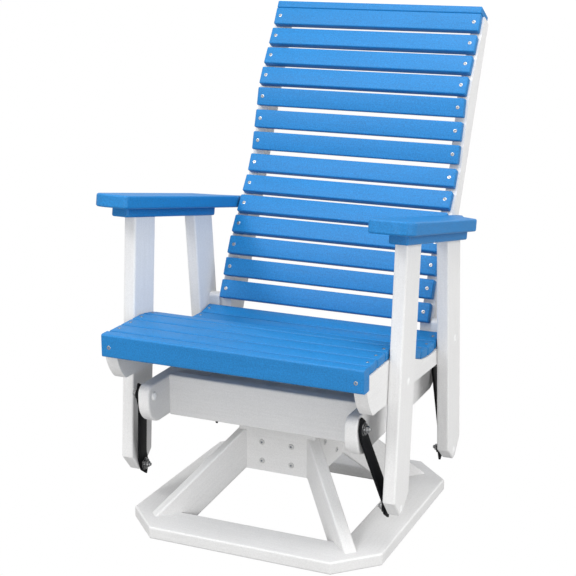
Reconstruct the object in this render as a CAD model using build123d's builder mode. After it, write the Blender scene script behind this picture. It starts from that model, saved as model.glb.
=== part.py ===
from build123d import *
import os
from math import cos, radians, sin, sqrt, tan

# Adirondack swivel glider: a slatted chair hung by four steel links from a frame that turns on a base.
# Millimetres. X to the sitter's left, Y to the back of the chair, Z up from the floor.
# Most places are worked out from the swivel axis and from the upper link pivots.

quarter_turn = 90.0  # degrees

# Boards
frame_board = 26.0  # thickness of every white board and of the armrests
slat_board = 19.0  # thickness of the slats, the armrest cleats and the hub's cap
slat_width = 41.0
frame_round = 4.0  # rounded long edges of the thick boards
slat_round = 3.0
cut_overrun = 5.0  # how far a cutting tool runs past what it cuts
seat_gap = 0.3  # air where two boards only just meet
fit_clearance = 0.05  # between a bolt or pressed cup and its hole, on the radius

# Floor ring of four mitred boards
ring_side = 550.0
ring_board_width = 90.0
ring_corner_cut = 78.0

# Four struts that rise along the diagonals to the hub
strut_slope = 40.0  # degrees
strut_width = 69.0
strut_start = 14.0  # from the swivel axis to the inner end
strut_crown = 101.0  # length of the level top
ring_screw_recess = 2.0
ring_screw_margin = 22.0  # from the strut's heel
ring_screw_offset = 6.5  # either side of the mitre

# Screws of the base, alike in the ring and in the hub
base_screw_radius = 3.0
base_screw_length = 46.0
base_screw_head_radius = 6.5
base_screw_head = 2.5

# Hub: a box of four plates between the struts, with a cap
hub_bottom = 104.0
hub_height = 85.0
hub_half = 86.0  # from the swivel axis to a plate's outer face
hub_screw_spacing = 66.0
hub_screw_margin = 22.0
cap_side = 172.0

# Swivel bearing: two steel plates with pressed races and a caged ball ring between them
swivel_height = 19.0
swivel_plate_side = 170.0
swivel_plate = 3.0
swivel_plate_corner = 8.0
race_height = 4.0
race_inner_radius = 46.0
race_outer_radius = 74.0
cage_inner_radius = 54.0
cage_outer_radius = 66.0
running_gap = 0.3
rivet_radius = 8.0
rivet_head_radius = 13.0
rivet_head = 2.5
swivel_bolt_offset = 70.0  # from the swivel axis, along X and along Y
swivel_bolt_radius = 4.0
swivel_bolt_head_radius = 7.0
swivel_bolt_head = 3.0
swivel_lag_depth = 30.0  # how far the lower bolts run into the struts
swivel_nut_radius = 7.5
swivel_nut = 4.0

# Glider frame: two rails, two cross boards and two flat boards over the swivel
rail_height = 84.0
rail_half_length = 241.0
rail_top_corner = 20.0
rail_bottom_corner = 46.0
rail_pivot_end = 20.0  # from the rail's end to the pivot
rail_pivot_drop = 24.0  # from the rail's top to the pivot
swivel_board_width = 100.0
swivel_board_gap = 4.0
cross_board_face = 155.0  # from the swivel axis to a cross board's outer face
cross_board_drop = 2.5  # below the rails
frame_screw_radius = 3.0
frame_screw_length = 66.0
frame_screw_head_radius = 6.0
frame_screw_head = 2.0
frame_screw_margin = 20.0

# Links and their pivots
link_length = 186.0  # between pivots
link_width = 32.0
link_thickness = 4.5
link_reach = 26.0  # from a pivot to the pointed end
link_point = 20.0  # length of the pointed end
link_pad = 20.0  # from a pivot to the bend
link_room = 39.0  # between a rail and the legs
bearing_gap = 0.4  # between a bearing cup and what it runs beside
bearing_boss = 1.6
bearing_radius = 11.0
bearing_lip_radius = 13.5
bearing_lip = 1.2
bearing_cup = 3.5
bearing_face_radius = 9.8
pivot_radius = 4.0
open_pivot_play = 4.6  # in the rear links' lower cups, where the closed linkage is opened
pivot_nut_radius = 7.0
pivot_nut = 5.0
pivot_flange_radius = 11.5
pivot_flange = 1.6
pivot_tail = 4.0
pivot_head_radius = 6.5
pivot_head = 3.0
cover_radius = 8.5
cover_height = 5.0
cover_round = 3.0

# Legs, splayed fore and aft
leg_spacing = 548.0  # between the inner faces of the left and right legs
leg_width = 82.0
leg_foot_width = 14.0  # what the two cuts leave of the leg's end
front_leg_end = 12.0  # from the lower pivot to the leg's end
rear_leg_end = 18.0
front_foot = 164.0  # from the swivel axis forward to the lower pivot
rear_foot_setback = 26.9  # from the seat's rear end back to the lower pivot
front_lean = 4.8  # degrees from the vertical
rear_lean = 5.6
leg_bolt_drop = 71.0  # below the seat's top
leg_bolt_offset = 5.0  # behind the leg's centre line
leg_bolt_depth = 20.0  # how far it runs into the seat side
plug_depth = 4.0
plug_crown = 1.0

# Seat: a front board and ten slats over two curved side boards
seat_front = 308.0  # from the swivel axis to the front board's face
front_board_height = 46.5
seat_slat_gap = 2.5
seat_slat_slopes = (0, 0, 0, -11, -22, -25, -19, -9, -1, 12)  # degrees, front to rear
seat_trough_rise = 62.0  # from the upper pivots to the underside of the lowest slat
slat_end_gap = 2.0  # between a seat slat and the legs
side_front_rise = 46.0  # from the upper pivots to a side board's lower edge at its nose
side_rear_rise = 22.0
side_nose_setback = 14.0  # behind the front board's face
side_nose_length = 33.0
side_nose_bulge = 5.0  # how far the nose's curve stands off its chord
side_ear_rise = 23.0  # above the last slat's rear end
side_ear_length = 20.0
side_ear_round = 8.0
side_rear_length = 87.0  # from the seat's rear end to a side board's own
side_rear_height = 56.0

# Back: fourteen slats over two curved supports, under a cap
back_slat_gap = 9.5
back_slat_leans = (25, 24, 27, 34, 36, 36, 28, 15, 17, 14, 30, 34, 34, 29)  # degrees, bottom to top
back_overhang = 6.0  # how far the lowest back slat stands in front of the seat's rear end
back_rise = 20.0
back_slat_inset = 4.0
support_top_depth = 38.0
support_foot_rise = 48.0  # from the upper pivots
support_foot_depth = 58.0
back_cap_thickness = 17.0
support_bolt_radius = 4.0
support_bolt_head_radius = 8.0
support_bolt_head = 3.0
support_bolt_inset = 20.0
support_bolt_rise = 14.0
support_bolt_spacing = 26.0

# Armrests on cleats
arm_rise = 191.0  # from the seat's top to the armrest's underside, over the swivel axis
arm_slope = 10.65  # degrees, down to the back
arm_width = 83.0
arm_front = 245.0  # along the slope from the swivel axis
arm_shoulder_length = 2.0  # these three run along the slope from over the rear legs' pivots
arm_waist_length = 50.0
arm_rear_length = 125.0
arm_waist_width = 42.0
arm_tail_width = 18.0
arm_corner = 8.0
arm_front_round = 35.0  # the front corner away from the sitter
cleat_width = 39.0
cleat_front = 194.0  # along the slope from the swivel axis
cleat_rear_length = 13.0  # along the slope from over the rear legs' pivots
cleat_inset = 2.0  # how far it stands inside the legs' inner faces
cleat_corner = 6.0

# Levels
hub_top = hub_bottom + hub_height
cap_top = hub_top + slat_board
swivel_top = cap_top + swivel_height
board_top = swivel_top + frame_board
rail_top = swivel_top + rail_height
pivot_level = rail_top - rail_pivot_drop
pivot_reach = rail_half_length - rail_pivot_end

# Widths
leg_inner = leg_spacing / 2
leg_outer = leg_inner + frame_board
side_inner = leg_inner - frame_board
support_inner = side_inner - frame_board
rail_outer = leg_inner - link_room
rail_inner = rail_outer - frame_board


def step(point, slope, distance):
    """The point a distance away in the side view, at a slope in degrees above the way back."""
    return (point[0] + distance * cos(radians(slope)), point[1] + distance * sin(radians(slope)))


def seat_slat_places():
    """Front end of each seat slat's underside and its slope, front to rear."""
    places = []
    point = (0, 0)
    for slat, slope in enumerate(seat_slat_slopes):
        places.append((point, slope))
        rear = step(point, slope, slat_width)
        if slat + 1 < len(seat_slat_slopes):
            turn = seat_slat_slopes[slat + 1] - slope
            gap = seat_slat_gap + slat_board * max(0, sin(radians(turn)))
            point = step(rear, slope + turn / 2, gap)
    lowest = min(point[1] for point, slope in places)
    front = frame_board + seat_slat_gap - seat_front
    level = pivot_level + seat_trough_rise - lowest
    return [((y + front, z + level), slope) for (y, z), slope in places]


def back_slat_places(start):
    """Lower front edge of each back slat and its lean, bottom to top."""
    places = []
    point = start
    for slat, lean in enumerate(back_slat_leans):
        places.append((point, lean))
        upper = step(point, quarter_turn - lean, slat_width)
        if slat + 1 < len(back_slat_leans):
            turn = quarter_turn - (lean + back_slat_leans[slat + 1]) / 2
            point = step(upper, turn, back_slat_gap)
    return places


# Places in the side view, as (y behind the swivel axis, z)
seat_slats = seat_slat_places()
seat_top = seat_slats[0][0][1] + slat_board
last_point, last_slope = seat_slats[-1]
seat_rear_under = step(last_point, last_slope, slat_width)
seat_rear_top = step(seat_rear_under, last_slope + quarter_turn, slat_board)
back_slats = back_slat_places((seat_rear_top[0] - back_overhang, seat_rear_top[1] + back_rise))
top_point, top_lean = back_slats[-1]
back_top = step(top_point, quarter_turn - top_lean, slat_width)
support_top_front = step(back_top, -top_lean, slat_board)
support_top_rear = step(support_top_front, -top_lean, support_top_depth)
foot_front = step(back_slats[0][0], -back_slats[0][1], slat_board)[0]
support_foot = pivot_level + support_foot_rise
arm_level = seat_top + arm_rise
rear_foot = seat_rear_under[0] + rear_foot_setback
front_pivot = (-front_foot, pivot_level - sqrt(link_length**2 - (pivot_reach - front_foot) ** 2))
rear_pivot = (rear_foot, pivot_level - sqrt(link_length**2 - (pivot_reach - rear_foot) ** 2))

# The origin is on the floor under the middle of the whole, so the swivel axis stands in front of it
back_cap_rear = step(support_top_rear, quarter_turn - top_lean, back_cap_thickness)[0]
cap_round_loss = slat_round * (cos(radians(top_lean)) + sin(radians(top_lean)) - 1)
swivel = Vector(0, (seat_front - back_cap_rear + cap_round_loss) / 2, 0)


def level_plane(z, turn=0):
    """Level plane at a height, with its x turned by degrees round the swivel axis."""
    return Plane(
        origin=swivel + Vector(0, 0, z),
        x_dir=(cos(radians(turn)), sin(radians(turn)), 0),
        z_dir=(0, 0, 1),
    )


def side_plane(x, point=(0, 0), lean=0):
    """Upright fore-and-aft plane facing the sitter's left, local x to the back and y up, leaned back."""
    return Plane(
        origin=swivel + Vector(x, point[0], point[1]),
        x_dir=(0, cos(radians(lean)), -sin(radians(lean))),
        z_dir=(1, 0, 0),
    )


def facing_plane(turn, distance):
    """Upright plane that faces away from the swivel axis at an angle, local y up."""
    out = Vector(cos(radians(turn)), sin(radians(turn)), 0)
    return Plane(origin=swivel + out * distance, x_dir=(-out.Y, out.X, 0), z_dir=(out.X, out.Y, 0))


def write(piece, name):
    """Writes one piece under its name."""
    piece.label = name
    export_step(piece, f"parts/{name}.step")


def write_pair(piece, name):
    """Writes a piece made on the sitter's left, and its mirror image on the right."""
    write(piece, f"{name}_left")
    write(mirror(piece, about=Plane.YZ), f"{name}_right")


def write_both_sides(piece, name):
    """Writes a group of pieces of both sides, given those on the sitter's left."""
    write(Compound(children=[*piece.solids(), *mirror(piece, about=Plane.YZ).solids()]), name)


os.makedirs("parts", exist_ok=True)


# Floor ring
ring_half = ring_side / 2
ring_inner = ring_half - ring_board_width
mitre_end = ring_half - ring_corner_cut / 2
heel = ring_inner * sqrt(2) - frame_board / 2 - seat_gap
ring_screw_points = []
for quarter in range(4):
    out = Vector(1, 0, 0).rotate(Axis.Z, (quarter + 1 / 2) * quarter_turn)
    across = Vector(-out.Y, out.X, 0)
    for offset in (-ring_screw_offset, ring_screw_offset):
        place = out * (heel + ring_screw_margin) + across * offset
        ring_screw_points.append((place.X, place.Y))


def off_mitre(edge):
    """True for an edge that doesn't lie on a mitre."""
    middle = edge.center() - swivel
    return abs(abs(middle.X) - abs(middle.Y)) > fit_clearance


for quarter, end in enumerate(("front", "left", "rear", "right")):
    with BuildPart() as ring_board:
        with BuildSketch(level_plane(0, quarter * quarter_turn)):
            with BuildLine():
                Polyline(
                    (-ring_inner, -ring_inner),
                    (ring_inner, -ring_inner),
                    (mitre_end, -mitre_end),
                    (ring_half - ring_corner_cut, -ring_half),
                    (ring_corner_cut - ring_half, -ring_half),
                    (-mitre_end, -mitre_end),
                    close=True,
                )
            make_face()
        extrude(amount=frame_board)
        fillet(ring_board.edges().filter_by(Plane.XY).filter_by(off_mitre), frame_round)
        with BuildSketch(level_plane(0)):
            with Locations(*ring_screw_points):
                Circle(base_screw_radius + fit_clearance)
        extrude(amount=frame_board + cut_overrun, mode=Mode.SUBTRACT)
        with BuildSketch(level_plane(0)):
            with Locations(*ring_screw_points):
                Circle(base_screw_head_radius + fit_clearance)
        extrude(amount=ring_screw_recess + base_screw_head, mode=Mode.SUBTRACT)
    write(ring_board.part, f"ring_board_{end}")


# Struts
strut_fall = tan(radians(strut_slope))
strut_depth = strut_width / cos(radians(strut_slope))
crown_end = strut_start + strut_crown
tip = crown_end + (hub_top - frame_board) / strut_fall
toe = crown_end + (hub_top - strut_depth) / strut_fall
knee = crown_end + (hub_top - strut_depth - hub_bottom) / strut_fall
hub_screw_places = [
    (x, z)
    for x in (-hub_screw_spacing / 2, hub_screw_spacing / 2)
    for z in (hub_bottom + hub_screw_margin, hub_top - hub_screw_margin)
]
swivel_bolt_places = [
    (x, y)
    for x in (-swivel_bolt_offset, swivel_bolt_offset)
    for y in (-swivel_bolt_offset, swivel_bolt_offset)
]


with BuildPart() as hub_screw_holes:
    for quarter in range(4):
        with BuildSketch(facing_plane(quarter * quarter_turn, hub_half)):
            with Locations(*hub_screw_places):
                Circle(base_screw_radius + fit_clearance)
        extrude(amount=-base_screw_length)

for quarter, corner in enumerate(("rear_left", "rear_right", "front_right", "front_left")):
    out = Vector(1, 0, 0).rotate(Axis.Z, (quarter + 1 / 2) * quarter_turn)
    fall = out.rotate(Axis(origin=(0, 0, 0), direction=(-out.Y, out.X, 0)), strut_slope)
    with BuildPart() as strut:
        with BuildSketch(Plane(origin=swivel, x_dir=out, z_dir=(out.Y, -out.X, 0))):
            with BuildLine():
                Polyline(
                    (strut_start, hub_bottom),
                    (strut_start, hub_top),
                    (crown_end, hub_top),
                    (tip, frame_board),
                    (heel, frame_board),
                    (heel, 0),
                    (toe, 0),
                    (knee, hub_bottom),
                    close=True,
                )
            make_face()
        extrude(amount=frame_board / 2, both=True)
        fillet(strut.edges().filter_by(Axis(origin=swivel, direction=fall)), frame_round)
        add(hub_screw_holes.part, mode=Mode.SUBTRACT)
        with BuildSketch(level_plane(ring_screw_recess)):
            with Locations(*ring_screw_points):
                Circle(base_screw_radius + fit_clearance)
        extrude(amount=base_screw_length, mode=Mode.SUBTRACT)
        with BuildSketch(level_plane(hub_top)):
            with Locations(*swivel_bolt_places):
                Circle(swivel_bolt_radius + fit_clearance)
        extrude(amount=-swivel_lag_depth, mode=Mode.SUBTRACT)
    write(strut.part, f"base_strut_{corner}")

# Hub
hub_outer_end = hub_half - frame_board / sqrt(2)
hub_inner = hub_half - frame_board
hub_inner_end = hub_inner - frame_board / sqrt(2)
for quarter, end in enumerate(("front", "left", "rear", "right")):
    with BuildPart() as hub_plate:
        with BuildSketch(level_plane(hub_bottom, quarter * quarter_turn)):
            with BuildLine():
                Polyline(
                    (-hub_outer_end, -hub_half),
                    (hub_outer_end, -hub_half),
                    (hub_inner_end, -hub_inner),
                    (-hub_inner_end, -hub_inner),
                    close=True,
                )
            make_face()
        extrude(amount=hub_height)
        add(hub_screw_holes.part, mode=Mode.SUBTRACT)
    write(hub_plate.part, f"hub_plate_{end}")

with BuildPart() as base_screws:
    with BuildSketch(level_plane(ring_screw_recess)):
        with Locations(*ring_screw_points):
            Circle(base_screw_head_radius)
    extrude(amount=base_screw_head)
    with BuildSketch(level_plane(ring_screw_recess)):
        with Locations(*ring_screw_points):
            Circle(base_screw_radius)
    extrude(amount=base_screw_length)
    for quarter in range(4):
        with BuildSketch(facing_plane(quarter * quarter_turn, hub_half)):
            with Locations(*hub_screw_places):
                Circle(base_screw_head_radius)
        extrude(amount=base_screw_head)
        with BuildSketch(facing_plane(quarter * quarter_turn, hub_half)):
            with Locations(*hub_screw_places):
                Circle(base_screw_radius)
        extrude(amount=-base_screw_length)
write(base_screws.part, "base_screws")

with BuildPart() as hub_cap_board:
    with BuildSketch(level_plane(hub_top)):
        RectangleRounded(cap_side, cap_side, frame_round)
        Circle(rivet_head_radius + running_gap, mode=Mode.SUBTRACT)
        with Locations(*swivel_bolt_places):
            Circle(swivel_bolt_radius + fit_clearance, mode=Mode.SUBTRACT)
    extrude(amount=slat_board)
write(hub_cap_board.part, "hub_cap_board")


# Swivel bearing
def swivel_plate_face(level, centre_radius):
    """A drilled square plate's outline at a level."""
    with BuildSketch(level_plane(level)) as face:
        RectangleRounded(swivel_plate_side, swivel_plate_side, swivel_plate_corner)
        Circle(centre_radius, mode=Mode.SUBTRACT)
        with Locations(*swivel_bolt_places):
            Circle(swivel_bolt_radius + fit_clearance, mode=Mode.SUBTRACT)
    return face.sketch


def ring_face(level, inner, outer):
    """A ring's outline at a level."""
    with BuildSketch(level_plane(level)) as face:
        Circle(outer)
        Circle(inner, mode=Mode.SUBTRACT)
    return face.sketch


with BuildPart() as swivel_lower_plate:
    extrude(swivel_plate_face(cap_top, rivet_radius + fit_clearance), amount=swivel_plate)
    extrude(ring_face(cap_top + swivel_plate, race_inner_radius, race_outer_radius), amount=race_height)
write(swivel_lower_plate.part, "swivel_lower_plate")

with BuildPart() as swivel_upper_plate:
    extrude(swivel_plate_face(swivel_top, rivet_radius + fit_clearance), amount=-swivel_plate)
    extrude(ring_face(swivel_top - swivel_plate, race_inner_radius, race_outer_radius), amount=-race_height)
write(swivel_upper_plate.part, "swivel_upper_plate")

race_gap = swivel_height - 2 * (swivel_plate + race_height)
with BuildPart() as swivel_ball_ring:
    extrude(
        ring_face(cap_top + swivel_plate + race_height, cage_inner_radius, cage_outer_radius),
        amount=race_gap - running_gap,
    )
write(swivel_ball_ring.part, "swivel_ball_ring")

rivet_end = cap_top - running_gap
with BuildPart() as swivel_rivet:
    with BuildSketch(level_plane(rivet_end)):
        Circle(rivet_head_radius)
    extrude(amount=-rivet_head)
    with BuildSketch(level_plane(rivet_end)):
        Circle(rivet_radius)
    extrude(amount=swivel_top - rivet_end)
    with BuildSketch(level_plane(swivel_top)):
        Circle(rivet_head_radius)
    extrude(amount=rivet_head)
write(swivel_rivet.part, "swivel_rivet")

with BuildPart() as swivel_lower_bolts:
    with BuildSketch(level_plane(cap_top + swivel_plate)):
        with Locations(*swivel_bolt_places):
            Circle(swivel_bolt_head_radius)
    extrude(amount=swivel_bolt_head)
    with BuildSketch(level_plane(cap_top + swivel_plate)):
        with Locations(*swivel_bolt_places):
            Circle(swivel_bolt_radius)
    extrude(amount=-(swivel_plate + slat_board + swivel_lag_depth))
write(swivel_lower_bolts.part, "swivel_lower_bolts")

with BuildPart() as swivel_upper_bolts:
    with BuildSketch(level_plane(board_top)):
        with Locations(*swivel_bolt_places):
            Circle(swivel_bolt_head_radius)
    extrude(amount=swivel_bolt_head)
    with BuildSketch(level_plane(board_top)):
        with Locations(*swivel_bolt_places):
            Circle(swivel_bolt_radius)
    extrude(amount=-(frame_board + swivel_plate + swivel_nut))
with BuildPart() as swivel_nuts:
    with BuildSketch(level_plane(swivel_top - swivel_plate)):
        with Locations(*swivel_bolt_places):
            RegularPolygon(swivel_nut_radius, 6)
            Circle(swivel_bolt_radius + fit_clearance, mode=Mode.SUBTRACT)
    extrude(amount=-swivel_nut)
write(
    Compound(children=[*swivel_upper_bolts.part.solids(), *swivel_nuts.part.solids()]),
    "swivel_upper_bolts",
)


# Glider frame
swivel_board_middle = (swivel_board_gap + swivel_board_width) / 2
cross_board_middle = cross_board_face - frame_board / 2
frame_screw_places = [
    (end * (swivel_board_middle + offset), swivel_top + frame_board / 2)
    for end in (-1, 1)
    for offset in (frame_screw_margin - swivel_board_width / 2, swivel_board_width / 2 - frame_screw_margin)
] + [
    (end * cross_board_middle, z)
    for end in (-1, 1)
    for z in (swivel_top + frame_screw_margin, rail_top - frame_screw_margin)
]


with BuildPart() as frame_screw_holes:
    for end in (-1, 1):
        with BuildSketch(side_plane(end * rail_outer)):
            with Locations(*frame_screw_places):
                Circle(frame_screw_radius + fit_clearance)
        extrude(amount=-end * frame_screw_length)

for end, name in ((-1, "front"), (1, "rear")):
    with BuildPart() as swivel_board:
        with BuildSketch(level_plane(swivel_top)):
            with Locations((0, end * swivel_board_middle)):
                Rectangle(2 * rail_inner, swivel_board_width)
        extrude(amount=frame_board)
        fillet(swivel_board.edges().filter_by(Axis.X), frame_round)
        with BuildSketch(level_plane(swivel_top)):
            with Locations(*swivel_bolt_places):
                Circle(swivel_bolt_radius + fit_clearance)
        extrude(amount=frame_board, mode=Mode.SUBTRACT)
        with BuildSketch(level_plane(swivel_top)):
            Circle(rivet_head_radius + running_gap)
        extrude(amount=rivet_head + 2 * running_gap, mode=Mode.SUBTRACT)
        add(frame_screw_holes.part, mode=Mode.SUBTRACT)
    write(swivel_board.part, f"swivel_board_{name}")
    with BuildPart() as cross_board:
        with BuildSketch(level_plane(swivel_top - cross_board_drop)):
            with Locations((0, end * cross_board_middle)):
                Rectangle(2 * rail_inner, frame_board)
        extrude(amount=rail_height + cross_board_drop)
        fillet(cross_board.edges().filter_by(Axis.X), frame_round)
        add(frame_screw_holes.part, mode=Mode.SUBTRACT)
    write(cross_board.part, f"cross_board_{name}")

rail_pivots = [(-pivot_reach, pivot_level), (pivot_reach, pivot_level)]
with BuildPart() as rail:
    with BuildSketch(side_plane(rail_inner)) as rail_face:
        with Locations((0, swivel_top + rail_height / 2)):
            Rectangle(2 * rail_half_length, rail_height)
        fillet(rail_face.vertices().group_by(Axis.Y)[-1], rail_top_corner)
        fillet(rail_face.vertices().group_by(Axis.Y)[0], rail_bottom_corner)
    extrude(amount=frame_board)
    fillet(rail.faces().filter_by(Axis.X).edges(), frame_round)
    with BuildSketch(side_plane(rail_inner)):
        with Locations(*rail_pivots):
            Circle(pivot_radius + fit_clearance)
    extrude(amount=frame_board, mode=Mode.SUBTRACT)
    add(frame_screw_holes.part, mode=Mode.SUBTRACT)
    with BuildSketch(side_plane(rail_outer)):
        with Locations(*frame_screw_places):
            Circle(frame_screw_head_radius + fit_clearance)
    extrude(amount=-frame_screw_head, mode=Mode.SUBTRACT)
write_pair(rail.part, "rail")

with BuildPart() as frame_screws:
    with BuildSketch(side_plane(rail_outer)):
        with Locations(*frame_screw_places):
            Circle(frame_screw_head_radius)
    extrude(amount=-frame_screw_head)
    with BuildSketch(side_plane(rail_outer)):
        with Locations(*frame_screw_places):
            Circle(frame_screw_radius)
    extrude(amount=-frame_screw_length)
write_both_sides(frame_screws.part, "frame_screws")

# Upper pivots: a bolt through the rail with a white cover inside and a nut outside
link_run = bearing_gap + bearing_boss + link_thickness + bearing_cup
nut_seat = link_run + bearing_gap
pivot_end = nut_seat + pivot_flange + pivot_nut + pivot_tail
with BuildPart() as rail_pivot_bolts:
    with BuildSketch(side_plane(rail_inner)):
        with Locations(*rail_pivots):
            Circle(pivot_head_radius)
    extrude(amount=-pivot_head)
    with BuildSketch(side_plane(rail_inner)):
        with Locations(*rail_pivots):
            Circle(pivot_radius)
    extrude(amount=frame_board + pivot_end)
write_both_sides(rail_pivot_bolts.part, "rail_pivot_bolts")

with BuildPart() as rail_bolt_covers:
    with BuildSketch(side_plane(rail_inner)):
        with Locations(*rail_pivots):
            Circle(cover_radius)
    extrude(amount=-cover_height)
    fillet(rail_bolt_covers.faces().sort_by(Axis.X)[: len(rail_pivots)].edges(), cover_round)
    with BuildSketch(side_plane(rail_inner)):
        with Locations(*rail_pivots):
            Circle(pivot_head_radius + fit_clearance)
    extrude(amount=-(pivot_head + fit_clearance), mode=Mode.SUBTRACT)
write_both_sides(rail_bolt_covers.part, "rail_bolt_covers")


def flange_nuts(x, places, way):
    """Flange nuts on bolts along X, from a seat at x outwards (way 1) or inwards (way -1)."""
    with BuildPart() as nuts:
        with BuildSketch(side_plane(x)):
            with Locations(*places):
                Circle(pivot_flange_radius)
        extrude(amount=way * pivot_flange)
        with BuildSketch(side_plane(x + way * pivot_flange)):
            with Locations(*places):
                RegularPolygon(pivot_nut_radius, 6)
        extrude(amount=way * pivot_nut)
        with BuildSketch(side_plane(x)):
            with Locations(*places):
                Circle(pivot_radius + fit_clearance)
        extrude(amount=way * (pivot_flange + pivot_nut), mode=Mode.SUBTRACT)
    return nuts.part


write_both_sides(flange_nuts(rail_outer + nut_seat, rail_pivots, 1), "rail_pivot_nuts")


# Links: a strip bent twice between its two pads, with pointed ends and a bearing cup at each pivot
upper_pad = rail_outer + bearing_gap + bearing_boss
lower_pad = leg_inner - bearing_gap - bearing_boss


def bearing(x, way, point, bore):
    """A bearing cup on a pivot, from beside a board at x, outwards (way 1) or inwards (way -1)."""
    begin = x + way * bearing_gap
    lip = begin + way * (bearing_boss + link_thickness)
    end = x + way * link_run
    with BuildPart() as cup:
        with BuildSketch(
            Plane(origin=swivel + Vector(0, point[0], point[1]), x_dir=(1, 0, 0), z_dir=(0, -1, 0))
        ):
            with BuildLine():
                Polyline(
                    (begin, bore),
                    (begin, bearing_radius),
                    (lip, bearing_radius),
                    (lip, bearing_lip_radius),
                    (lip + way * bearing_lip, bearing_lip_radius),
                    (end, bearing_face_radius),
                    (end, bore),
                    close=True,
                )
            make_face()
        revolve(axis=Axis(origin=swivel + Vector(0, point[0], point[1]), direction=(1, 0, 0)))
    return cup.part


for end, upper, lower, play in (
    ("front", rail_pivots[0], front_pivot, 0),
    ("rear", rail_pivots[1], rear_pivot, open_pivot_play),
):
    along = (Vector(0, *lower) - Vector(0, *upper)).normalized()
    across = Vector(0, along.Z, -along.Y)
    start = swivel + Vector(0, *upper)
    with BuildPart() as link:
        with BuildSketch(Plane(origin=start, x_dir=along, z_dir=across)):
            with BuildLine():
                Polyline(
                    (-link_reach, upper_pad),
                    (link_pad, upper_pad),
                    (link_length - link_pad, lower_pad - link_thickness),
                    (link_length + link_reach, lower_pad - link_thickness),
                    (link_length + link_reach, lower_pad),
                    (link_length - link_pad, lower_pad),
                    (link_pad, upper_pad + link_thickness),
                    (-link_reach, upper_pad + link_thickness),
                    close=True,
                )
            make_face()
        extrude(amount=link_width / 2, both=True)
        with BuildSketch(Plane(origin=start, x_dir=along, z_dir=(1, 0, 0))) as link_face:
            with BuildLine():
                Polyline(
                    (-link_reach, 0),
                    (link_point - link_reach, link_width / 2),
                    (link_length + link_reach - link_point, link_width / 2),
                    (link_length + link_reach, 0),
                    (link_length + link_reach - link_point, -link_width / 2),
                    (link_point - link_reach, -link_width / 2),
                    close=True,
                )
            make_face()
            with Locations((0, 0), (link_length, 0)):
                Circle(bearing_radius + fit_clearance, mode=Mode.SUBTRACT)
        extrude(amount=leg_inner, mode=Mode.INTERSECT)
    write_pair(link.part, f"link_{end}")
    upper_cup = bearing(rail_outer, 1, upper, pivot_radius + fit_clearance)
    lower_cup = bearing(leg_inner, -1, lower, pivot_radius + fit_clearance + play)
    write_pair(Compound(children=[*upper_cup.solids(), *lower_cup.solids()]), f"link_bearings_{end}")


# Seat side boards, with a rounded nose, a flat seat for each slat and an ear behind the last one
seat_bottom = seat_top - front_board_height
nose = side_nose_setback - seat_front
nose_end = (nose + side_nose_length, pivot_level + side_front_rise)
side_rear = seat_rear_under[0] + side_rear_length
ear_front = seat_rear_under[0] + seat_gap
ear_top = seat_rear_top[1] + side_ear_rise
side_edge = []
for point, slope in seat_slats:
    side_edge += [point, step(point, slope, slat_width)]
lag_level = seat_top - leg_bolt_drop
lag_places = [
    (pivot[0] + (lag_level - pivot[1]) * tan(radians(lean)) + leg_bolt_offset, lag_level)
    for pivot, lean in ((front_pivot, front_lean), (rear_pivot, -rear_lean))
]
support_bolt_level = support_foot + support_bolt_rise
support_bolt_places = [
    (foot_front + support_bolt_inset, support_bolt_level),
    (foot_front + support_bolt_inset + support_bolt_spacing, support_bolt_level),
]

with BuildPart() as seat_side:
    with BuildSketch(side_plane(side_inner)) as side_face:
        with BuildLine():
            Polyline(
                (nose, seat_bottom),
                (frame_board - seat_front, seat_bottom),
                (frame_board - seat_front, side_edge[0][1]),
                *side_edge,
                (ear_front, side_edge[-1][1]),
                (ear_front, ear_top),
                (ear_front + side_ear_length, ear_top),
                (side_rear, pivot_level + side_rear_rise + side_rear_height),
                (side_rear, pivot_level + side_rear_rise),
                nose_end,
            )
            SagittaArc(nose_end, (nose, seat_bottom), side_nose_bulge)
        make_face()
        ear_corners = [corner for corner in side_face.vertices() if abs(corner.Y - ear_top) < fit_clearance]
        fillet(ear_corners, side_ear_round)
    extrude(amount=frame_board)
    with BuildSketch(side_plane(side_inner)):
        with Locations(*support_bolt_places):
            Circle(support_bolt_radius + fit_clearance)
    extrude(amount=leg_bolt_depth, mode=Mode.SUBTRACT)
    with BuildSketch(side_plane(leg_inner)):
        with Locations(*lag_places):
            Circle(pivot_radius + fit_clearance)
    extrude(amount=-leg_bolt_depth, mode=Mode.SUBTRACT)
write_pair(seat_side.part, "seat_side")

with BuildPart() as seat_front_board:
    with BuildSketch(side_plane(0, (-seat_front, seat_bottom))) as front_board_face:
        Rectangle(frame_board, front_board_height, align=(Align.MIN, Align.MIN))
        fillet(front_board_face.vertices(), frame_round)
    extrude(amount=leg_inner - slat_end_gap / 2, both=True)
write(seat_front_board.part, "seat_front_board")


# Slats
def seat_slat_group(places):
    """Seat slats of the side boards' outer width, laid at their slopes."""
    with BuildPart() as slats:
        for point, slope in places:
            with BuildSketch(side_plane(0, point, -slope)) as slat_face:
                Rectangle(slat_width, slat_board, align=(Align.MIN, Align.MIN))
                fillet(slat_face.vertices(), slat_round)
            extrude(amount=leg_inner - slat_end_gap, both=True)
    return slats.part


def back_slat_group(places):
    """Back slats stood on the supports at their leans."""
    with BuildPart() as slats:
        for point, lean in places:
            with BuildSketch(side_plane(0, point, lean)) as slat_face:
                Rectangle(slat_board, slat_width, align=(Align.MIN, Align.MIN))
                fillet(slat_face.vertices(), slat_round)
            extrude(amount=side_inner - back_slat_inset, both=True)
    return slats.part


write(seat_slat_group(seat_slats), "seat_slats")
write(back_slat_group(back_slats[:7]), "back_slats_lower")
write(back_slat_group(back_slats[7:]), "back_slats_upper")

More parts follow.
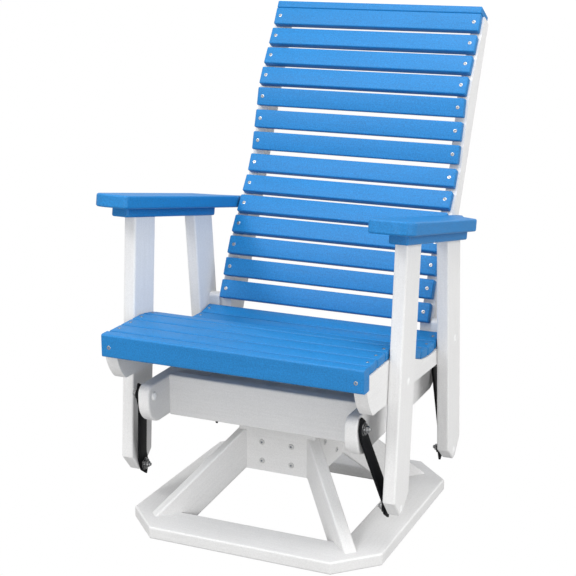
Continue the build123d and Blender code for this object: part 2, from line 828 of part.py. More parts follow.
with BuildPart() as back_cap:
    with BuildSketch(side_plane(0, back_top, top_lean)) as cap_face:
        Rectangle(slat_board + support_top_depth, back_cap_thickness, align=(Align.MIN, Align.MIN))
        fillet(cap_face.vertices(), slat_round)
    extrude(amount=side_inner - back_slat_inset, both=True)
write(back_cap.part, "back_cap")

# Back supports, flat under each slat in front and straight behind
support_edge = []
for point, lean in back_slats:
    seat = step(point, -lean, slat_board)
    support_edge += [seat, step(seat, quarter_turn - lean, slat_width)]
foot_rear = (foot_front + support_foot_depth, support_foot)

with BuildPart() as back_support:
    with BuildSketch(side_plane(support_inner)):
        with BuildLine():
            Polyline((foot_front, support_foot), *support_edge, support_top_rear, foot_rear, close=True)
        make_face()
    extrude(amount=frame_board)
    rear_line = Vector(0, *support_top_rear) - Vector(0, *foot_rear)
    fillet(back_support.edges().filter_by(Axis(origin=swivel, direction=rear_line)), frame_round)
    with BuildSketch(side_plane(support_inner)):
        with Locations(*support_bolt_places):
            Circle(support_bolt_radius + fit_clearance)
    extrude(amount=frame_board, mode=Mode.SUBTRACT)
write_pair(back_support.part, "back_support")

with BuildPart() as support_bolts:
    with BuildSketch(side_plane(support_inner)):
        with Locations(*support_bolt_places):
            Circle(support_bolt_head_radius)
    extrude(amount=-support_bolt_head)
    with BuildSketch(side_plane(support_inner)):
        with Locations(*support_bolt_places):
            Circle(support_bolt_radius)
    extrude(amount=frame_board + leg_bolt_depth)
write_both_sides(support_bolts.part, "support_bolts")


# Armrests and cleats
def arm_plane(rise=0):
    """The sloping plane under the armrests, local y down to the back, raised square to itself."""
    normal = Vector(0, sin(radians(arm_slope)), cos(radians(arm_slope)))
    return Plane(origin=swivel + Vector(0, 0, arm_level) + normal * rise, x_dir=(1, 0, 0), z_dir=normal)


arm_upright = Axis(origin=swivel, direction=arm_plane().z_dir)
with BuildPart() as armrest:
    with BuildSketch(arm_plane()) as arm_face:
        with BuildLine():
            Polyline(
                (side_inner, -arm_front),
                (side_inner + arm_width, -arm_front),
                (side_inner + arm_width, rear_foot + arm_shoulder_length),
                (side_inner + arm_waist_width, rear_foot + arm_waist_length),
                (side_inner + arm_tail_width, rear_foot + arm_rear_length),
                (side_inner, rear_foot + arm_rear_length),
                close=True,
            )
        make_face()
        fillet([corner for row in arm_face.vertices().group_by(Axis.Y)[1:] for corner in row], arm_corner)
        fillet(arm_face.vertices().group_by(Axis.Y)[0].sort_by(Axis.X)[0], arm_corner)
        fillet(arm_face.vertices().group_by(Axis.Y)[0].sort_by(Axis.X)[-1], arm_front_round)
    extrude(amount=frame_board)
    fillet(armrest.faces().filter_by(arm_upright).edges(), frame_round)
write_pair(armrest.part, "armrest")

cleat_length = cleat_front + rear_foot + cleat_rear_length
with BuildPart() as arm_cleat:
    with BuildSketch(arm_plane()):
        with Locations((leg_inner - cleat_inset, -cleat_front)):
            Rectangle(cleat_width, cleat_length, align=(Align.MIN, Align.MIN))
    extrude(amount=-slat_board)
    fillet(arm_cleat.edges().filter_by(arm_upright), cleat_corner)
    fillet(arm_cleat.faces().sort_by(arm_upright)[0].edges(), frame_round)
write_pair(arm_cleat.part, "arm_cleat")


# Legs, cut off square under the cleats, with recessed bolts under white plugs
head_depth = pivot_head + plug_depth
foot_cut = (leg_width - leg_foot_width) / 2
for end, pivot, lean, foot, lag in (
    ("front", front_pivot, front_lean, front_leg_end, lag_places[0]),
    ("rear", rear_pivot, -rear_lean, rear_leg_end, lag_places[1]),
):
    blank = arm_level - pivot[1] + leg_width
    with BuildPart() as leg:
        with BuildSketch(side_plane(leg_inner, pivot, lean)):
            with BuildLine():
                Polyline(
                    (-leg_foot_width / 2, -foot),
                    (leg_foot_width / 2, -foot),
                    (leg_width / 2, foot_cut - foot),
                    (leg_width / 2, blank),
                    (-leg_width / 2, blank),
                    (-leg_width / 2, foot_cut - foot),
                    close=True,
                )
            make_face()
        extrude(amount=frame_board)
        fillet(leg.faces().filter_by(Axis.X).edges(), frame_round)
        split(bisect_by=arm_plane(-slat_board), keep=Keep.BOTTOM)
        with BuildSketch(side_plane(leg_inner)):
            with Locations(pivot, lag):
                Circle(pivot_radius + fit_clearance)
        extrude(amount=frame_board, mode=Mode.SUBTRACT)
        with BuildSketch(side_plane(leg_outer)):
            with Locations(pivot, lag):
                Circle(cover_radius + fit_clearance)
        extrude(amount=-head_depth, mode=Mode.SUBTRACT)
    write_pair(leg.part, f"leg_{end}")

leg_pivots = [front_pivot, rear_pivot]
with BuildPart() as leg_bolts:
    with BuildSketch(side_plane(leg_outer - head_depth)):
        with Locations(*lag_places):
            Circle(pivot_head_radius)
    extrude(amount=pivot_head)
    with BuildSketch(side_plane(leg_outer - head_depth)):
        with Locations(*lag_places):
            Circle(pivot_radius)
    extrude(amount=-(frame_board - head_depth + leg_bolt_depth))
write_both_sides(leg_bolts.part, "leg_bolts")

with BuildPart() as leg_pivot_bolts:
    with BuildSketch(side_plane(leg_outer - head_depth)):
        with Locations(*leg_pivots):
            Circle(pivot_head_radius)
    extrude(amount=pivot_head)
    with BuildSketch(side_plane(leg_outer - head_depth)):
        with Locations(*leg_pivots):
            Circle(pivot_radius)
    extrude(amount=-(frame_board - head_depth + pivot_end))
write_both_sides(leg_pivot_bolts.part, "leg_pivot_bolts")
write_both_sides(flange_nuts(leg_inner - nut_seat, leg_pivots, -1), "leg_pivot_nuts")

with BuildPart() as leg_plugs:
    with BuildSketch(side_plane(leg_outer - plug_depth)):
        with Locations(*leg_pivots, *lag_places):
            Circle(cover_radius)
    extrude(amount=plug_depth + plug_crown)
    fillet(leg_plugs.faces().sort_by(Axis.X)[-4:].edges(), plug_crown)
write_both_sides(leg_plugs.part, "leg_plugs")

print("seat top", round(seat_top, 1), "swivel axis at y", round(swivel.Y, 1))
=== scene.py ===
"""Dresses an adirondack swivel glider: a slatted chair on four bent links, over a swivel and a ring base.

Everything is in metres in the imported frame: +X to the sitter's left, +Y to the back of the chair, +Z up from the
floor. Sizes in the classes are in millimetres and degrees. The boards, the leg bolts and the swivel's bolts and rivet
keep their CAD solids, and the grain of the boards' finish runs along each. The slats, the back's cap board, links,
bearings, pivot bolts, nuts, screw heads, caps and the swivel's plates and balls are surfaces worked out here, and ride
on the same bodies.
"""

import logging
import math
from dataclasses import dataclass, field, replace
from enum import Enum
from typing import Callable, Iterable, Sequence, Union

import bmesh
import bpy
import numpy as np
from mathutils import Euler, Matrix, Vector


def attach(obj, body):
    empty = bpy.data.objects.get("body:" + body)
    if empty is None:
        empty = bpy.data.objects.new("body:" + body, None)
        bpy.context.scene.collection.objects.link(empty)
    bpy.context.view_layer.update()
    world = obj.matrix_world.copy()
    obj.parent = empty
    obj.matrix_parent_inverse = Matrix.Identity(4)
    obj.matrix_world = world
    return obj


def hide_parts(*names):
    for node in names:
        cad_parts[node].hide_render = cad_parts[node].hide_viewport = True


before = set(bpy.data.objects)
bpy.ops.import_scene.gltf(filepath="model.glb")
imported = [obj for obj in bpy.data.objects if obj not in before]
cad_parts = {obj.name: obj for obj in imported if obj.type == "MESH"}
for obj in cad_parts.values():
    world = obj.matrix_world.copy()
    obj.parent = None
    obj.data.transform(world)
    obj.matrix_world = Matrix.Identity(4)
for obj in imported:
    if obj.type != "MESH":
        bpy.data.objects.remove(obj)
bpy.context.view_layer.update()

logging.basicConfig(level=logging.INFO, format="%(name)s: %(message)s")
log = logging.getLogger("glider")

MM = 0.001
Point = Sequence[float]
Number = Union[int, float]
Finishes = dict[str, bpy.types.Material]


# Shader graphs


class Signal:
    """One output of a node. Arithmetic on it adds Math nodes to the same graph."""

    def __init__(self, graph: "Graph", socket: bpy.types.NodeSocket) -> None:
        """Keeps the graph and the output socket that carries the value."""
        self.graph = graph
        self.socket = socket

    def _with(self, operation: str, first: "Feed", second: "Feed") -> "Signal":
        """Adds one Math node.

        Args:
            operation: the Math node's operation.
            first: what feeds its first value.
            second: what feeds its second value.

        Returns:
            The node's result.
        """
        return self.graph.node("ShaderNodeMath", {"operation": operation}, {0: first, 1: second}).out("Value")

    def __add__(self, other: "Feed") -> "Signal":
        """Sum."""
        return self._with("ADD", self, other)

    def __radd__(self, other: "Feed") -> "Signal":
        """Sum, reflected."""
        return self._with("ADD", other, self)

    def __sub__(self, other: "Feed") -> "Signal":
        """Difference."""
        return self._with("SUBTRACT", self, other)

    def __rsub__(self, other: "Feed") -> "Signal":
        """Difference, reflected."""
        return self._with("SUBTRACT", other, self)

    def __mul__(self, other: "Feed") -> "Signal":
        """Product."""
        return self._with("MULTIPLY", self, other)

    def __rmul__(self, other: "Feed") -> "Signal":
        """Product, reflected."""
        return self._with("MULTIPLY", other, self)


Feed = Union[Signal, Number, Sequence[float]]


class Placed:
    """A node in a graph, whose outputs are read by name."""

    def __init__(self, graph: "Graph", node: bpy.types.Node) -> None:
        """Keeps the node and its graph."""
        self.graph = graph
        self.node = node

    def out(self, name: str) -> Signal:
        """The output with a name, as a signal."""
        return Signal(self.graph, self.node.outputs[name])


class Graph:
    """The node graph of one material."""

    def __init__(self, name: str) -> None:
        """Starts an empty material.

        Args:
            name: of the material.
        """
        self.material = bpy.data.materials.new(name)
        self.material.use_nodes = True
        self.tree = self.material.node_tree
        self.tree.nodes.clear()

    def node(self, kind: str, settings: dict | None = None, feeds: dict | None = None) -> Placed:
        """Adds any node.

        Args:
            kind: the node's type.
            settings: its options, which are set first.
            feeds: a value or a signal for each of its inputs, by name or by number.

        Returns:
            The node.
        """
        made = self.tree.nodes.new(kind)
        for key, value in (settings or {}).items():
            setattr(made, key, value)
        for key, value in (feeds or {}).items():
            if isinstance(value, Signal):
                self.tree.links.new(value.socket, made.inputs[key])
            else:
                made.inputs[key].default_value = value
        return Placed(self, made)

    def where(self) -> Signal:
        """Object coordinates, which are the frame's own metres."""
        return self.node("ShaderNodeTexCoord").out("Object")

    def noise(self, at: Signal, scale: float, detail: float = 3.0, roughness: float = 0.5) -> Signal:
        """Fractal noise.

        Args:
            at: the coordinates that it follows.
            scale: features per metre.
            detail: octaves.
            roughness: how much the finer octaves count.

        Returns:
            A value round one half.
        """
        feeds = {"Vector": at, "Scale": scale, "Detail": detail, "Roughness": roughness}
        return self.node("ShaderNodeTexNoise", {}, feeds).out("Fac")

    def blend(self, amount: Feed, first: Feed, second: Feed) -> Signal:
        """Mixes two colours.

        Args:
            amount: the share of the second, from 0 to 1.
            first: a colour.
            second: another colour.

        Returns:
            The mixed colour.
        """
        settings = {"data_type": "RGBA", "clamp_factor": True}
        placed = self.node("ShaderNodeMix", settings, {0: amount, 6: first, 7: second})
        return Signal(self, placed.node.outputs[2])

    def drawn_out(self, at: Signal, along: Point, stretch: float) -> Signal:
        """Coordinates that run slower along one direction, so that a pattern is drawn out along it.

        The formula is P - along * dot(P, along) * (1 - 1 / stretch).

        Args:
            at: the coordinates P.
            along: the unit direction.
            stretch: how many times longer the pattern gets.

        Returns:
            The drawn out coordinates.
        """
        share = self.node("ShaderNodeVectorMath", {"operation": "DOT_PRODUCT"}, {0: at, 1: along}).out("Value")
        offset = self.node(
            "ShaderNodeVectorMath", {"operation": "SCALE"}, {0: along, "Scale": share * (1 - 1 / stretch)}
        ).out("Vector")
        return self.node("ShaderNodeVectorMath", {"operation": "SUBTRACT"}, {0: at, 1: offset}).out("Vector")

    def bump(self, height: Signal, strength: float, distance: float) -> Signal:
        """Bends the normal after a height.

        Args:
            height: the height, round 1.
            strength: how much of the bend is kept.
            distance: in metres, for a height of 1.

        Returns:
            The bent normal.
        """
        feeds = {"Height": height, "Strength": strength, "Distance": distance}
        return self.node("ShaderNodeBump", {}, feeds).out("Normal")

    def surface(self, feeds: dict) -> bpy.types.Material:
        """Ends the graph in a Principled shader.

        Args:
            feeds: its inputs, by name.

        Returns:
            The finished material.
        """
        return self.ended(self.node("ShaderNodeBsdfPrincipled", {}, feeds).out("BSDF"))

    def ended(self, shader: Signal) -> bpy.types.Material:
        """Ends the graph in a shader's signal."""
        self.node("ShaderNodeOutputMaterial", {}, {"Surface": shader})
        return self.material


def tint(colour: Point, by: float) -> tuple[float, float, float, float]:
    """Makes a colour lighter or darker.

    Args:
        colour: its red, green and blue.
        by: the factor.

    Returns:
        The colour with its alpha.
    """
    return (*(min(1.0, part * by) for part in colour[:3]), 1.0)


# Finishes


@dataclass(frozen=True)
class BoardFinish:
    """Solid coloured plastic lumber: a pebbled skin with faint streaks along the board."""

    name: str
    colour: tuple[float, float, float]
    streak: float
    speckle: float
    roughness: float
    pebble_height: float
    stretch: float = 22.0
    streaks_per_metre: float = 210.0
    clouds_per_metre: float = 5.5
    pebbles_per_metre: float = 370.0
    specks_per_metre: float = 1100.0
    relief: float = 0.55
    refraction: float = 1.48
    gloss: float = 0.33

    def make(self, along: Point) -> bpy.types.Material:
        """Makes the finish for boards that run one way.

        Args:
            along: the unit direction of the boards.

        Returns:
            The material.
        """
        graph = Graph(f"{self.name}_{'_'.join(str(round(part * 100)) for part in along)}")
        at = graph.where()
        drawn = graph.drawn_out(at, along, self.stretch)
        streaks = graph.noise(drawn, self.streaks_per_metre, 4.0, 0.62)
        clouds = graph.noise(at, self.clouds_per_metre, 2.0)
        pebbles = graph.noise(at, self.pebbles_per_metre, 3.0, 0.65)
        specks = graph.noise(at, self.specks_per_metre, 2.0, 0.7)
        shade = (
            (streaks - 0.5) * self.streak + (clouds - 0.5) * 0.5 * self.streak + (pebbles + specks - 1.0) * self.speckle
        )
        colour = graph.blend(shade + 0.5, tint(self.colour, 0.5), tint(self.colour, 1.5))
        rough = (pebbles - 0.5) * 0.16 + (streaks - 0.5) * 0.10 + self.roughness
        height = pebbles * 0.7 + specks * 0.2 + streaks * 0.35
        return graph.surface(
            {
                "Base Color": colour,
                "Roughness": rough,
                "Normal": graph.bump(height, self.relief, self.pebble_height),
                "IOR": self.refraction,
                "Specular IOR Level": self.gloss,
            }
        )


@dataclass(frozen=True)
class PowderCoat:
    """Satin black powder coat on steel, with the slight orange peel that it cures to."""

    name: str
    colour: tuple[float, float, float]
    roughness: float
    gloss: float
    peel_per_metre: float = 900.0
    peel_height: float = 0.0002
    dust_per_metre: float = 60.0

    def make(self) -> bpy.types.Material:
        """Makes the material.

        Returns:
            The finished material.
        """
        graph = Graph(self.name)
        at = graph.where()
        peel = graph.noise(at, self.peel_per_metre, 2.0)
        dust = graph.noise(at, self.dust_per_metre, 3.0)
        return graph.surface(
            {
                "Base Color": graph.blend(dust * 0.8, tint(self.colour, 0.8), tint(self.colour, 2.2)),
                "Roughness": (peel - 0.5) * 0.18 + (dust - 0.5) * 0.12 + self.roughness,
                "Normal": graph.bump(peel, 0.4, self.peel_height),
                "Specular IOR Level": self.gloss,
            }
        )


class Metal(Enum):
    """Bare metals of the small hardware, and a darker colour that paints the shade in the screws' sockets: colour,
    roughness and features per metre of their mottling.
    """

    STAINLESS = ("stainless_screw", (0.42, 0.425, 0.43), 0.30, 700.0)
    COATED = ("coated_screw", (0.56, 0.56, 0.555), 0.30, 700.0)
    NUT = ("dark_nut", (0.30, 0.302, 0.306), 0.22, 300.0)
    ZINC = ("zinc_plate", (0.42, 0.44, 0.47), 0.38, 130.0)
    # This member is painted shade: a darker, duller colour than the heads' metal, put on the screws' socket walls and
    # floors.
    SOCKET = ("screw_socket", (0.22, 0.24, 0.275), 0.6, 900.0)

    def make(self) -> bpy.types.Material:
        """Makes the material.

        Returns:
            The finished material.
        """
        name, colour, roughness, scale = self.value
        graph = Graph(name)
        at = graph.where()
        mottle = graph.noise(at, scale, 3.0, 0.55)
        brush_stretch, brushes_per_metre, brush_height = 6.0, 2600.0, 0.00008
        brushed = graph.noise(graph.drawn_out(at, (0.0, 0.0, 1.0), brush_stretch), brushes_per_metre, 2.0)
        return graph.surface(
            {
                "Base Color": graph.blend(mottle, tint(colour, 0.82), tint(colour, 1.16)),
                "Metallic": 0.3 if self in (Metal.SOCKET, Metal.COATED) else 1.0,
                "Roughness": (mottle - 0.5) * 0.2 + (brushed - 0.5) * 0.1 + roughness,
                "Normal": graph.bump(brushed, 0.25, brush_height),
            }
        )


@dataclass(frozen=True)
class CapFinish:
    """Glossy moulded caps over the bolt heads."""

    name: str
    colour: tuple[float, float, float]
    roughness: float
    flow_per_metre: float = 180.0
    flow_height: float = 0.0003
    gloss: float = 0.5

    def make(self) -> bpy.types.Material:
        """Makes the material.

        Returns:
            The finished material.
        """
        graph = Graph(self.name)
        at = graph.where()
        flow = graph.noise(at, self.flow_per_metre, 2.0)
        return graph.surface(
            {
                "Base Color": graph.blend(flow, tint(self.colour, 0.95), tint(self.colour, 1.03)),
                "Roughness": (flow - 0.5) * 0.1 + self.roughness,
                "Normal": graph.bump(flow, 0.15, self.flow_height),
                "Specular IOR Level": self.gloss,
            }
        )


WHITE_BOARD = BoardFinish("white_board", (0.80, 0.79, 0.777), 0.15, 0.30, 0.52, 0.0009)
BLUE_BOARD = BoardFinish("blue_board", (0.009, 0.170, 0.438), 0.22, 0.90, 0.46, 0.0012)
LINK_COAT = PowderCoat("link_coat", (0.004, 0.0042, 0.005), 0.46, 0.06)
BEARING_COAT = PowderCoat("bearing_coat", (0.014, 0.0145, 0.016), 0.24, 0.8)
BOLT_CAP = CapFinish("bolt_cap", (0.84, 0.84, 0.84), 0.26)


# Surfaces


@dataclass
class Shell:
    """A closed surface on a grid: its rows follow one another and each row goes round once.

    A looped shell joins its last row to its first, as a ring does. Any other has one face to close each end.
    """

    points: np.ndarray
    finish: int = 0
    last_rows: int = 0
    looped: bool = False

    def placed(self, origin: Point, x: Point, y: Point, z: Point) -> "Shell":
        """The shell moved from its own axes to others.

        Args:
            origin: where its own origin goes.
            x: where its x axis points.
            y: where its y axis points.
            z: where its z axis points.

        Returns:
            The moved shell.
        """
        return replace(self, points=self.points @ np.array([x, y, z], float) + np.array(origin, float))

    def scaled(self, x: float, y: float, z: float) -> "Shell":
        """The shell stretched or turned over along its own axes."""
        return replace(self, points=self.points * np.array([x, y, z]))

    def mirrored(self) -> "Shell":
        """The shell on the other side of the chair's middle."""
        return self.scaled(-1.0, 1.0, 1.0)

    def faces(self, start: int) -> tuple[list[list[int]], np.ndarray]:
        """Faces over the grid.

        Quad (i, j) joins columns j and j + 1, round to the first, of rows i and i + 1, round to the first if looped.

        Args:
            start: the number of its first vertex.

        Returns:
            The faces as lists of vertices, and the material slot of each.
        """
        rows, columns = self.points.shape[:2]
        bands = rows if self.looped else rows - 1
        i, j = np.meshgrid(np.arange(bands), np.arange(columns), indexing="ij")
        after, above = (j + 1) % columns, (i + 1) % rows
        quads = np.stack([i * columns + j, i * columns + after, above * columns + after, above * columns + j], -1)
        slots = self.finish + ((i >= bands - self.last_rows) & (self.last_rows > 0)).astype(int)
        faces = (quads.reshape(-1, 4) + start).tolist()
        if self.looped:
            return faces, slots.reshape(-1)
        first, last = np.arange(columns) + start, np.arange(columns) + start + (rows - 1) * columns
        return [*faces, first.tolist(), last.tolist()], np.append(slots.reshape(-1), [self.finish, slots[-1, 0]])


def make_piece(
    name: str,
    shells: Iterable[Shell],
    finishes: Sequence[bpy.types.Material],
    body: str,
    stands_for: Sequence[str] = (),
    crease: float = 38.0,
) -> bpy.types.Object:
    """Puts shells into one mesh and lets it ride on a body.

    Args:
        name: the piece's name.
        shells: its closed surfaces.
        finishes: its materials, by the shells' slot numbers.
        body: the body that carries it.
        stands_for: CAD nodes that it replaces.
        crease: the angle in degrees from which an edge stays sharp.

    Returns:
        The object, at the origin.
    """
    corners, faces, slots = [], [], []
    start = 0
    for shell in shells:
        made, their_slots = shell.faces(start)
        corners.append(shell.points.reshape(-1, 3))
        faces += made
        slots.append(their_slots)
        start += corners[-1].shape[0]
    mesh = bpy.data.meshes.new(name)
    mesh.from_pydata(np.concatenate(corners).tolist(), [], faces)
    mesh.polygons.foreach_set("material_index", np.concatenate(slots).astype(np.int32))
    work = bmesh.new()
    work.from_mesh(mesh)
    bmesh.ops.recalc_face_normals(work, faces=work.faces)
    work.to_mesh(mesh)
    work.free()
    for finish in finishes:
        mesh.materials.append(finish)
    mesh.polygons.foreach_set("use_smooth", np.ones(len(mesh.polygons), bool))
    mesh.set_sharp_from_angle(angle=math.radians(crease))
    piece = bpy.data.objects.new(name, mesh)
    bpy.context.scene.collection.objects.link(piece)
    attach(piece, body)
    if stands_for:
        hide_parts(*stands_for)
    log.info("%s: %d faces on %s", name, len(mesh.polygons), body)
    return piece


def rounded_section(width: float, depth: float, radius: float, steps: int = 4) -> tuple[np.ndarray, np.ndarray]:
    """A rounded rectangle as corner centres and unit directions.

    A point on it is centre + radius * (cos a, sin a), with a running once round in four quarter turns.

    Args:
        width: its size along the first axis, from 0.
        depth: its size along the second axis, from 0.
        radius: of its corners.
        steps: segments in each corner.

    Returns:
        The centres and the directions, one row for each point.
    """
    quarter = np.linspace(0.0, math.pi / 2, steps + 1)
    angle = np.concatenate([quarter + turn * math.pi / 2 for turn in range(4)])
    right, far = width - radius, depth - radius
    centres = np.array([(right, far), (radius, far), (radius, radius), (right, radius)])
    return np.repeat(centres, steps + 1, axis=0), np.stack([np.cos(angle), np.sin(angle)], -1)


def rounded_board(length: float, width: float, depth: float, radius: float, steps: int = 4) -> Shell:
    """A board along x with every edge and corner rounded.

    Each station near an end keeps the corner centres and shrinks the radius to radius * sin(p) while x moves by
    radius * (1 - cos(p)), for p from 0 to a right angle.

    Args:
        length: along x, centred.
        width: along y, from 0.
        depth: along z, from 0.
        radius: of its edges.
        steps: segments in each quarter turn.

    Returns:
        The shell.
    """
    centres, directions = rounded_section(width, depth, radius, steps)
    p = np.linspace(0.0, math.pi / 2, steps + 1)
    ends = radius * (1 - np.cos(p))
    x = np.concatenate([ends - length / 2, (length / 2 - ends)[::-1]])
    shrunk = radius * np.concatenate([np.sin(p), np.sin(p)[::-1]])
    section = centres[None] + shrunk[:, None, None] * directions[None]
    across = np.broadcast_to(x[:, None, None], (len(x), section.shape[1], 1))
    return Shell(np.concatenate([across, section], -1))


def turned(
    profile: Sequence[tuple[float, float]],
    sides: int,
    shape: Callable[[np.ndarray], np.ndarray] | None = None,
    shaped: Sequence[float] | None = None,
    looped: bool = False,
) -> Shell:
    """A profile carried round the z axis.

    Point (i, a) is (r * cos a, r * sin a, z), with r the profile's radius, times the shape's own radius at a as far as
    the row is shaped.

    Args:
        profile: (z, radius) of each row.
        sides: points round the axis.
        shape: the radius of a shape of size 1 at each angle.
        shaped: how far each row takes that shape, from 0 to 1.
        looped: True if the profile is a closed section that leaves the axis free.

    Returns:
        The shell.
    """
    rows = np.array(profile, float)
    angle = np.linspace(0.0, 2 * math.pi, sides, endpoint=False)
    radius = np.broadcast_to(rows[:, 1:2], (len(rows), sides)).copy()
    if shape is not None and shaped is not None:
        radius *= 1 + (shape(angle)[None] - 1) * np.array(shaped, float)[:, None]
    z = np.broadcast_to(rows[:, :1], radius.shape)
    return Shell(np.stack([radius * np.cos(angle), radius * np.sin(angle), z], -1), looped=looped)


def polygon_shape(corners: int) -> Callable[[np.ndarray], np.ndarray]:
    """The outline of a regular polygon with corners at distance 1: cos(half) / cos(angle from a side's middle).

    Args:
        corners: how many it has.

    Returns:
        A function from angles to radii.
    """

    def radius(angle: np.ndarray) -> np.ndarray:
        """The radius at each angle.

        Args:
            angle: in radians.

        Returns:
            The radii.
        """
        half = math.pi / corners
        return math.cos(half) / np.cos((angle % (2 * half)) - half)

    return radius


# Places in the side view, repeated from the part's own named values, in millimetres behind the swivel axis and up


def step(point: Point, slope: float, distance: float) -> tuple[float, float]:
    """Walks from a point in the side view.

    Args:
        point: where to start.
        slope: in degrees above the way back.
        distance: how far.

    Returns:
        The point reached.
    """
    angle = math.radians(slope)
    return (point[0] + distance * math.cos(angle), point[1] + distance * math.sin(angle))


@dataclass
class SideView:
    """Where the slats and pivots stand and how the legs and back supports lean, seen from the side."""

    board: float = 26.0
    slat_depth: float = 19.0
    slat_width: float = 41.0
    pivot_level: float = 287.0
    seat_front: float = 308.0
    seat_gap: float = 2.5
    trough_rise: float = 62.0
    seat_slopes: tuple[float, ...] = (0, 0, 0, -11, -22, -25, -19, -9, -1, 12)
    back_gap: float = 9.5
    back_leans: tuple[float, ...] = (25, 24, 27, 34, 36, 36, 28, 15, 17, 14, 30, 34, 34, 29)
    back_overhang: float = 6.0
    back_rise: float = 20.0
    support_top_depth: float = 38.0
    cap_depth: float = 17.0
    slat_round: float = 3.0
    leg_leans: tuple[float, float] = (4.8, -5.6)
    support_lean: float = 24.6
    seat: list = field(init=False)
    seat_top: float = field(init=False)
    seat_rear: float = field(init=False)
    back: list = field(init=False)
    back_top: tuple[float, float] = field(init=False)
    swivel: float = field(init=False)

    def __post_init__(self) -> None:
        """Works the slats' places out, then the swivel axis."""
        self.seat = self.seat_places()
        self.seat_top = self.seat[0][0][1] + self.slat_depth
        under = step(self.seat[-1][0], self.seat_slopes[-1], self.slat_width)
        self.seat_rear = under[0]
        rear = step(under, self.seat_slopes[-1] + 90, self.slat_depth)
        self.back = self.back_places((rear[0] - self.back_overhang, rear[1] + self.back_rise))
        lean = self.back_leans[-1]
        self.back_top = step(self.back[-1][0], 90 - lean, self.slat_width)
        rear = step(self.back_top, -lean, self.slat_depth + self.support_top_depth)
        rear = step(rear, 90 - lean, self.cap_depth)
        loss = self.slat_round * (math.cos(math.radians(lean)) + math.sin(math.radians(lean)) - 1)
        self.swivel = (self.seat_front - rear[0] + loss) / 2

    def seat_places(self) -> list[tuple[tuple[float, float], float]]:
        """Works out how the seat's slats lie.

        Returns:
            The front end of each slat's underside and its slope, front to rear.
        """
        places = []
        point = (0.0, 0.0)
        for number, slope in enumerate(self.seat_slopes):
            places.append((point, slope))
            rear = step(point, slope, self.slat_width)
            if number + 1 < len(self.seat_slopes):
                turn = self.seat_slopes[number + 1] - slope
                gap = self.seat_gap + self.slat_depth * max(0.0, math.sin(math.radians(turn)))
                point = step(rear, slope + turn / 2, gap)
        lowest = min(point[1] for point, slope in places)
        front = self.board + self.seat_gap - self.seat_front
        level = self.pivot_level + self.trough_rise - lowest
        return [((y + front, z + level), slope) for (y, z), slope in places]

    def back_places(self, start: Point) -> list[tuple[tuple[float, float], float]]:
        """Works out how the back's slats stand.

        Args:
            start: the lower front edge of the lowest slat.

        Returns:
            The lower front edge of each slat and its lean, bottom to top.
        """
        places = []
        point = (start[0], start[1])
        for number, lean in enumerate(self.back_leans):
            places.append((point, lean))
            upper = step(point, 90 - lean, self.slat_width)
            if number + 1 < len(self.back_leans):
                point = step(upper, 90 - (lean + self.back_leans[number + 1]) / 2, self.back_gap)
        return places

    def at(self, x: float, point: Point) -> np.ndarray:
        """A place in metres in the frame, from x and a side-view point in millimetres."""
        return np.array([x, point[0] + self.swivel, point[1]]) * MM
    def across(self, shells: Iterable[Shell], x: float, way: int, points: Iterable[Point]) -> list[Shell]:
        """Turns the shells of one fastener so that their z runs along X, and sets them at each of its places.

        Args:
            shells: in millimetres.
            x: of their origin on the left side.
            way: 1 if they face outwards there, -1 if inwards.
            points: their places in the side view.

        Returns:
            The shells of the left side, in metres.
        """
        z = (way * MM, 0.0, 0.0)
        return [s.placed(self.at(x, point), (0.0, MM, 0.0), (0.0, 0.0, MM), z) for point in points for s in shells]


SIDE = SideView()


def both_sides(left: Sequence[Shell]) -> list[Shell]:
    """Shells of the left side and their mirror images."""
    return [*left, *(shell.mirrored() for shell in left)]


# Hardware shapes, in millimetres about their own axis


def screw_head(radius: float, height: float, socket: float = 0.5) -> Shell:
    """A low domed screw head with a square socket.

    The profile rises over the dome, turns over the socket's rim and goes down its walls; the walls take a square shape.

    Args:
        radius: of the head.
        height: of the dome.
        socket: the socket's share of the radius.

    Returns:
        The head, with the socket's walls and floor in the next material slot, whose darker colour paints the shade in
        the socket.
    """
    profile = [
        (-0.4, radius * 0.98),
        (0.0, radius),
        (height * 0.45, radius * 0.95),
        (height * 0.85, radius * 0.82),
        (height, radius * (socket + 0.14)),
        (height * 0.97, radius * (socket + 0.04)),
        (height * 0.85, radius * socket),
        (height * 0.2, radius * (socket - 0.02)),
        (height * 0.1, radius * socket / 2),
    ]
    shell = turned(profile, 20, polygon_shape(4), [0, 0, 0, 0, 0, 0.6, 1, 1, 1])
    # The last rows, the socket's walls and floor, take the next slot, whose darker colour paints the shade in the
    # socket.
    shell.last_rows = 3
    return shell


def flange_nut(radius: float, height: float, flange: float, flange_height: float) -> list[Shell]:
    """A flange nut with chamfered hexagon corners and a thin locking collar on top.

    The flange is a shallow cone. The hexagon's rows run from the flange to the chamfer, which is round again.

    Args:
        radius: to the hexagon's corners.
        height: of the hexagon.
        flange: the flange's radius.
        flange_height: its height.

    Returns:
        The flange, the hexagon and the collar.
    """
    cone = [(0.0, flange * 0.97), (0.3, flange), (flange_height * 0.55, flange * 0.985), (flange_height, radius * 0.98)]
    corner = [
        (flange_height * 0.9, radius),
        (flange_height + height * 0.82, radius),
        (flange_height + height * 0.95, radius * 0.93),
        (flange_height + height, radius * 0.86),
    ]
    collar = [
        (flange_height + height * 0.97, radius * 0.78),
        (flange_height + height * 1.1, radius * 0.76),
        (flange_height + height * 1.13, radius * 0.66),
    ]
    return [
        turned(cone, 36),
        turned(corner, 36, polygon_shape(6), [1, 1, 0.6, 0]),
        turned(collar, 36),
    ]


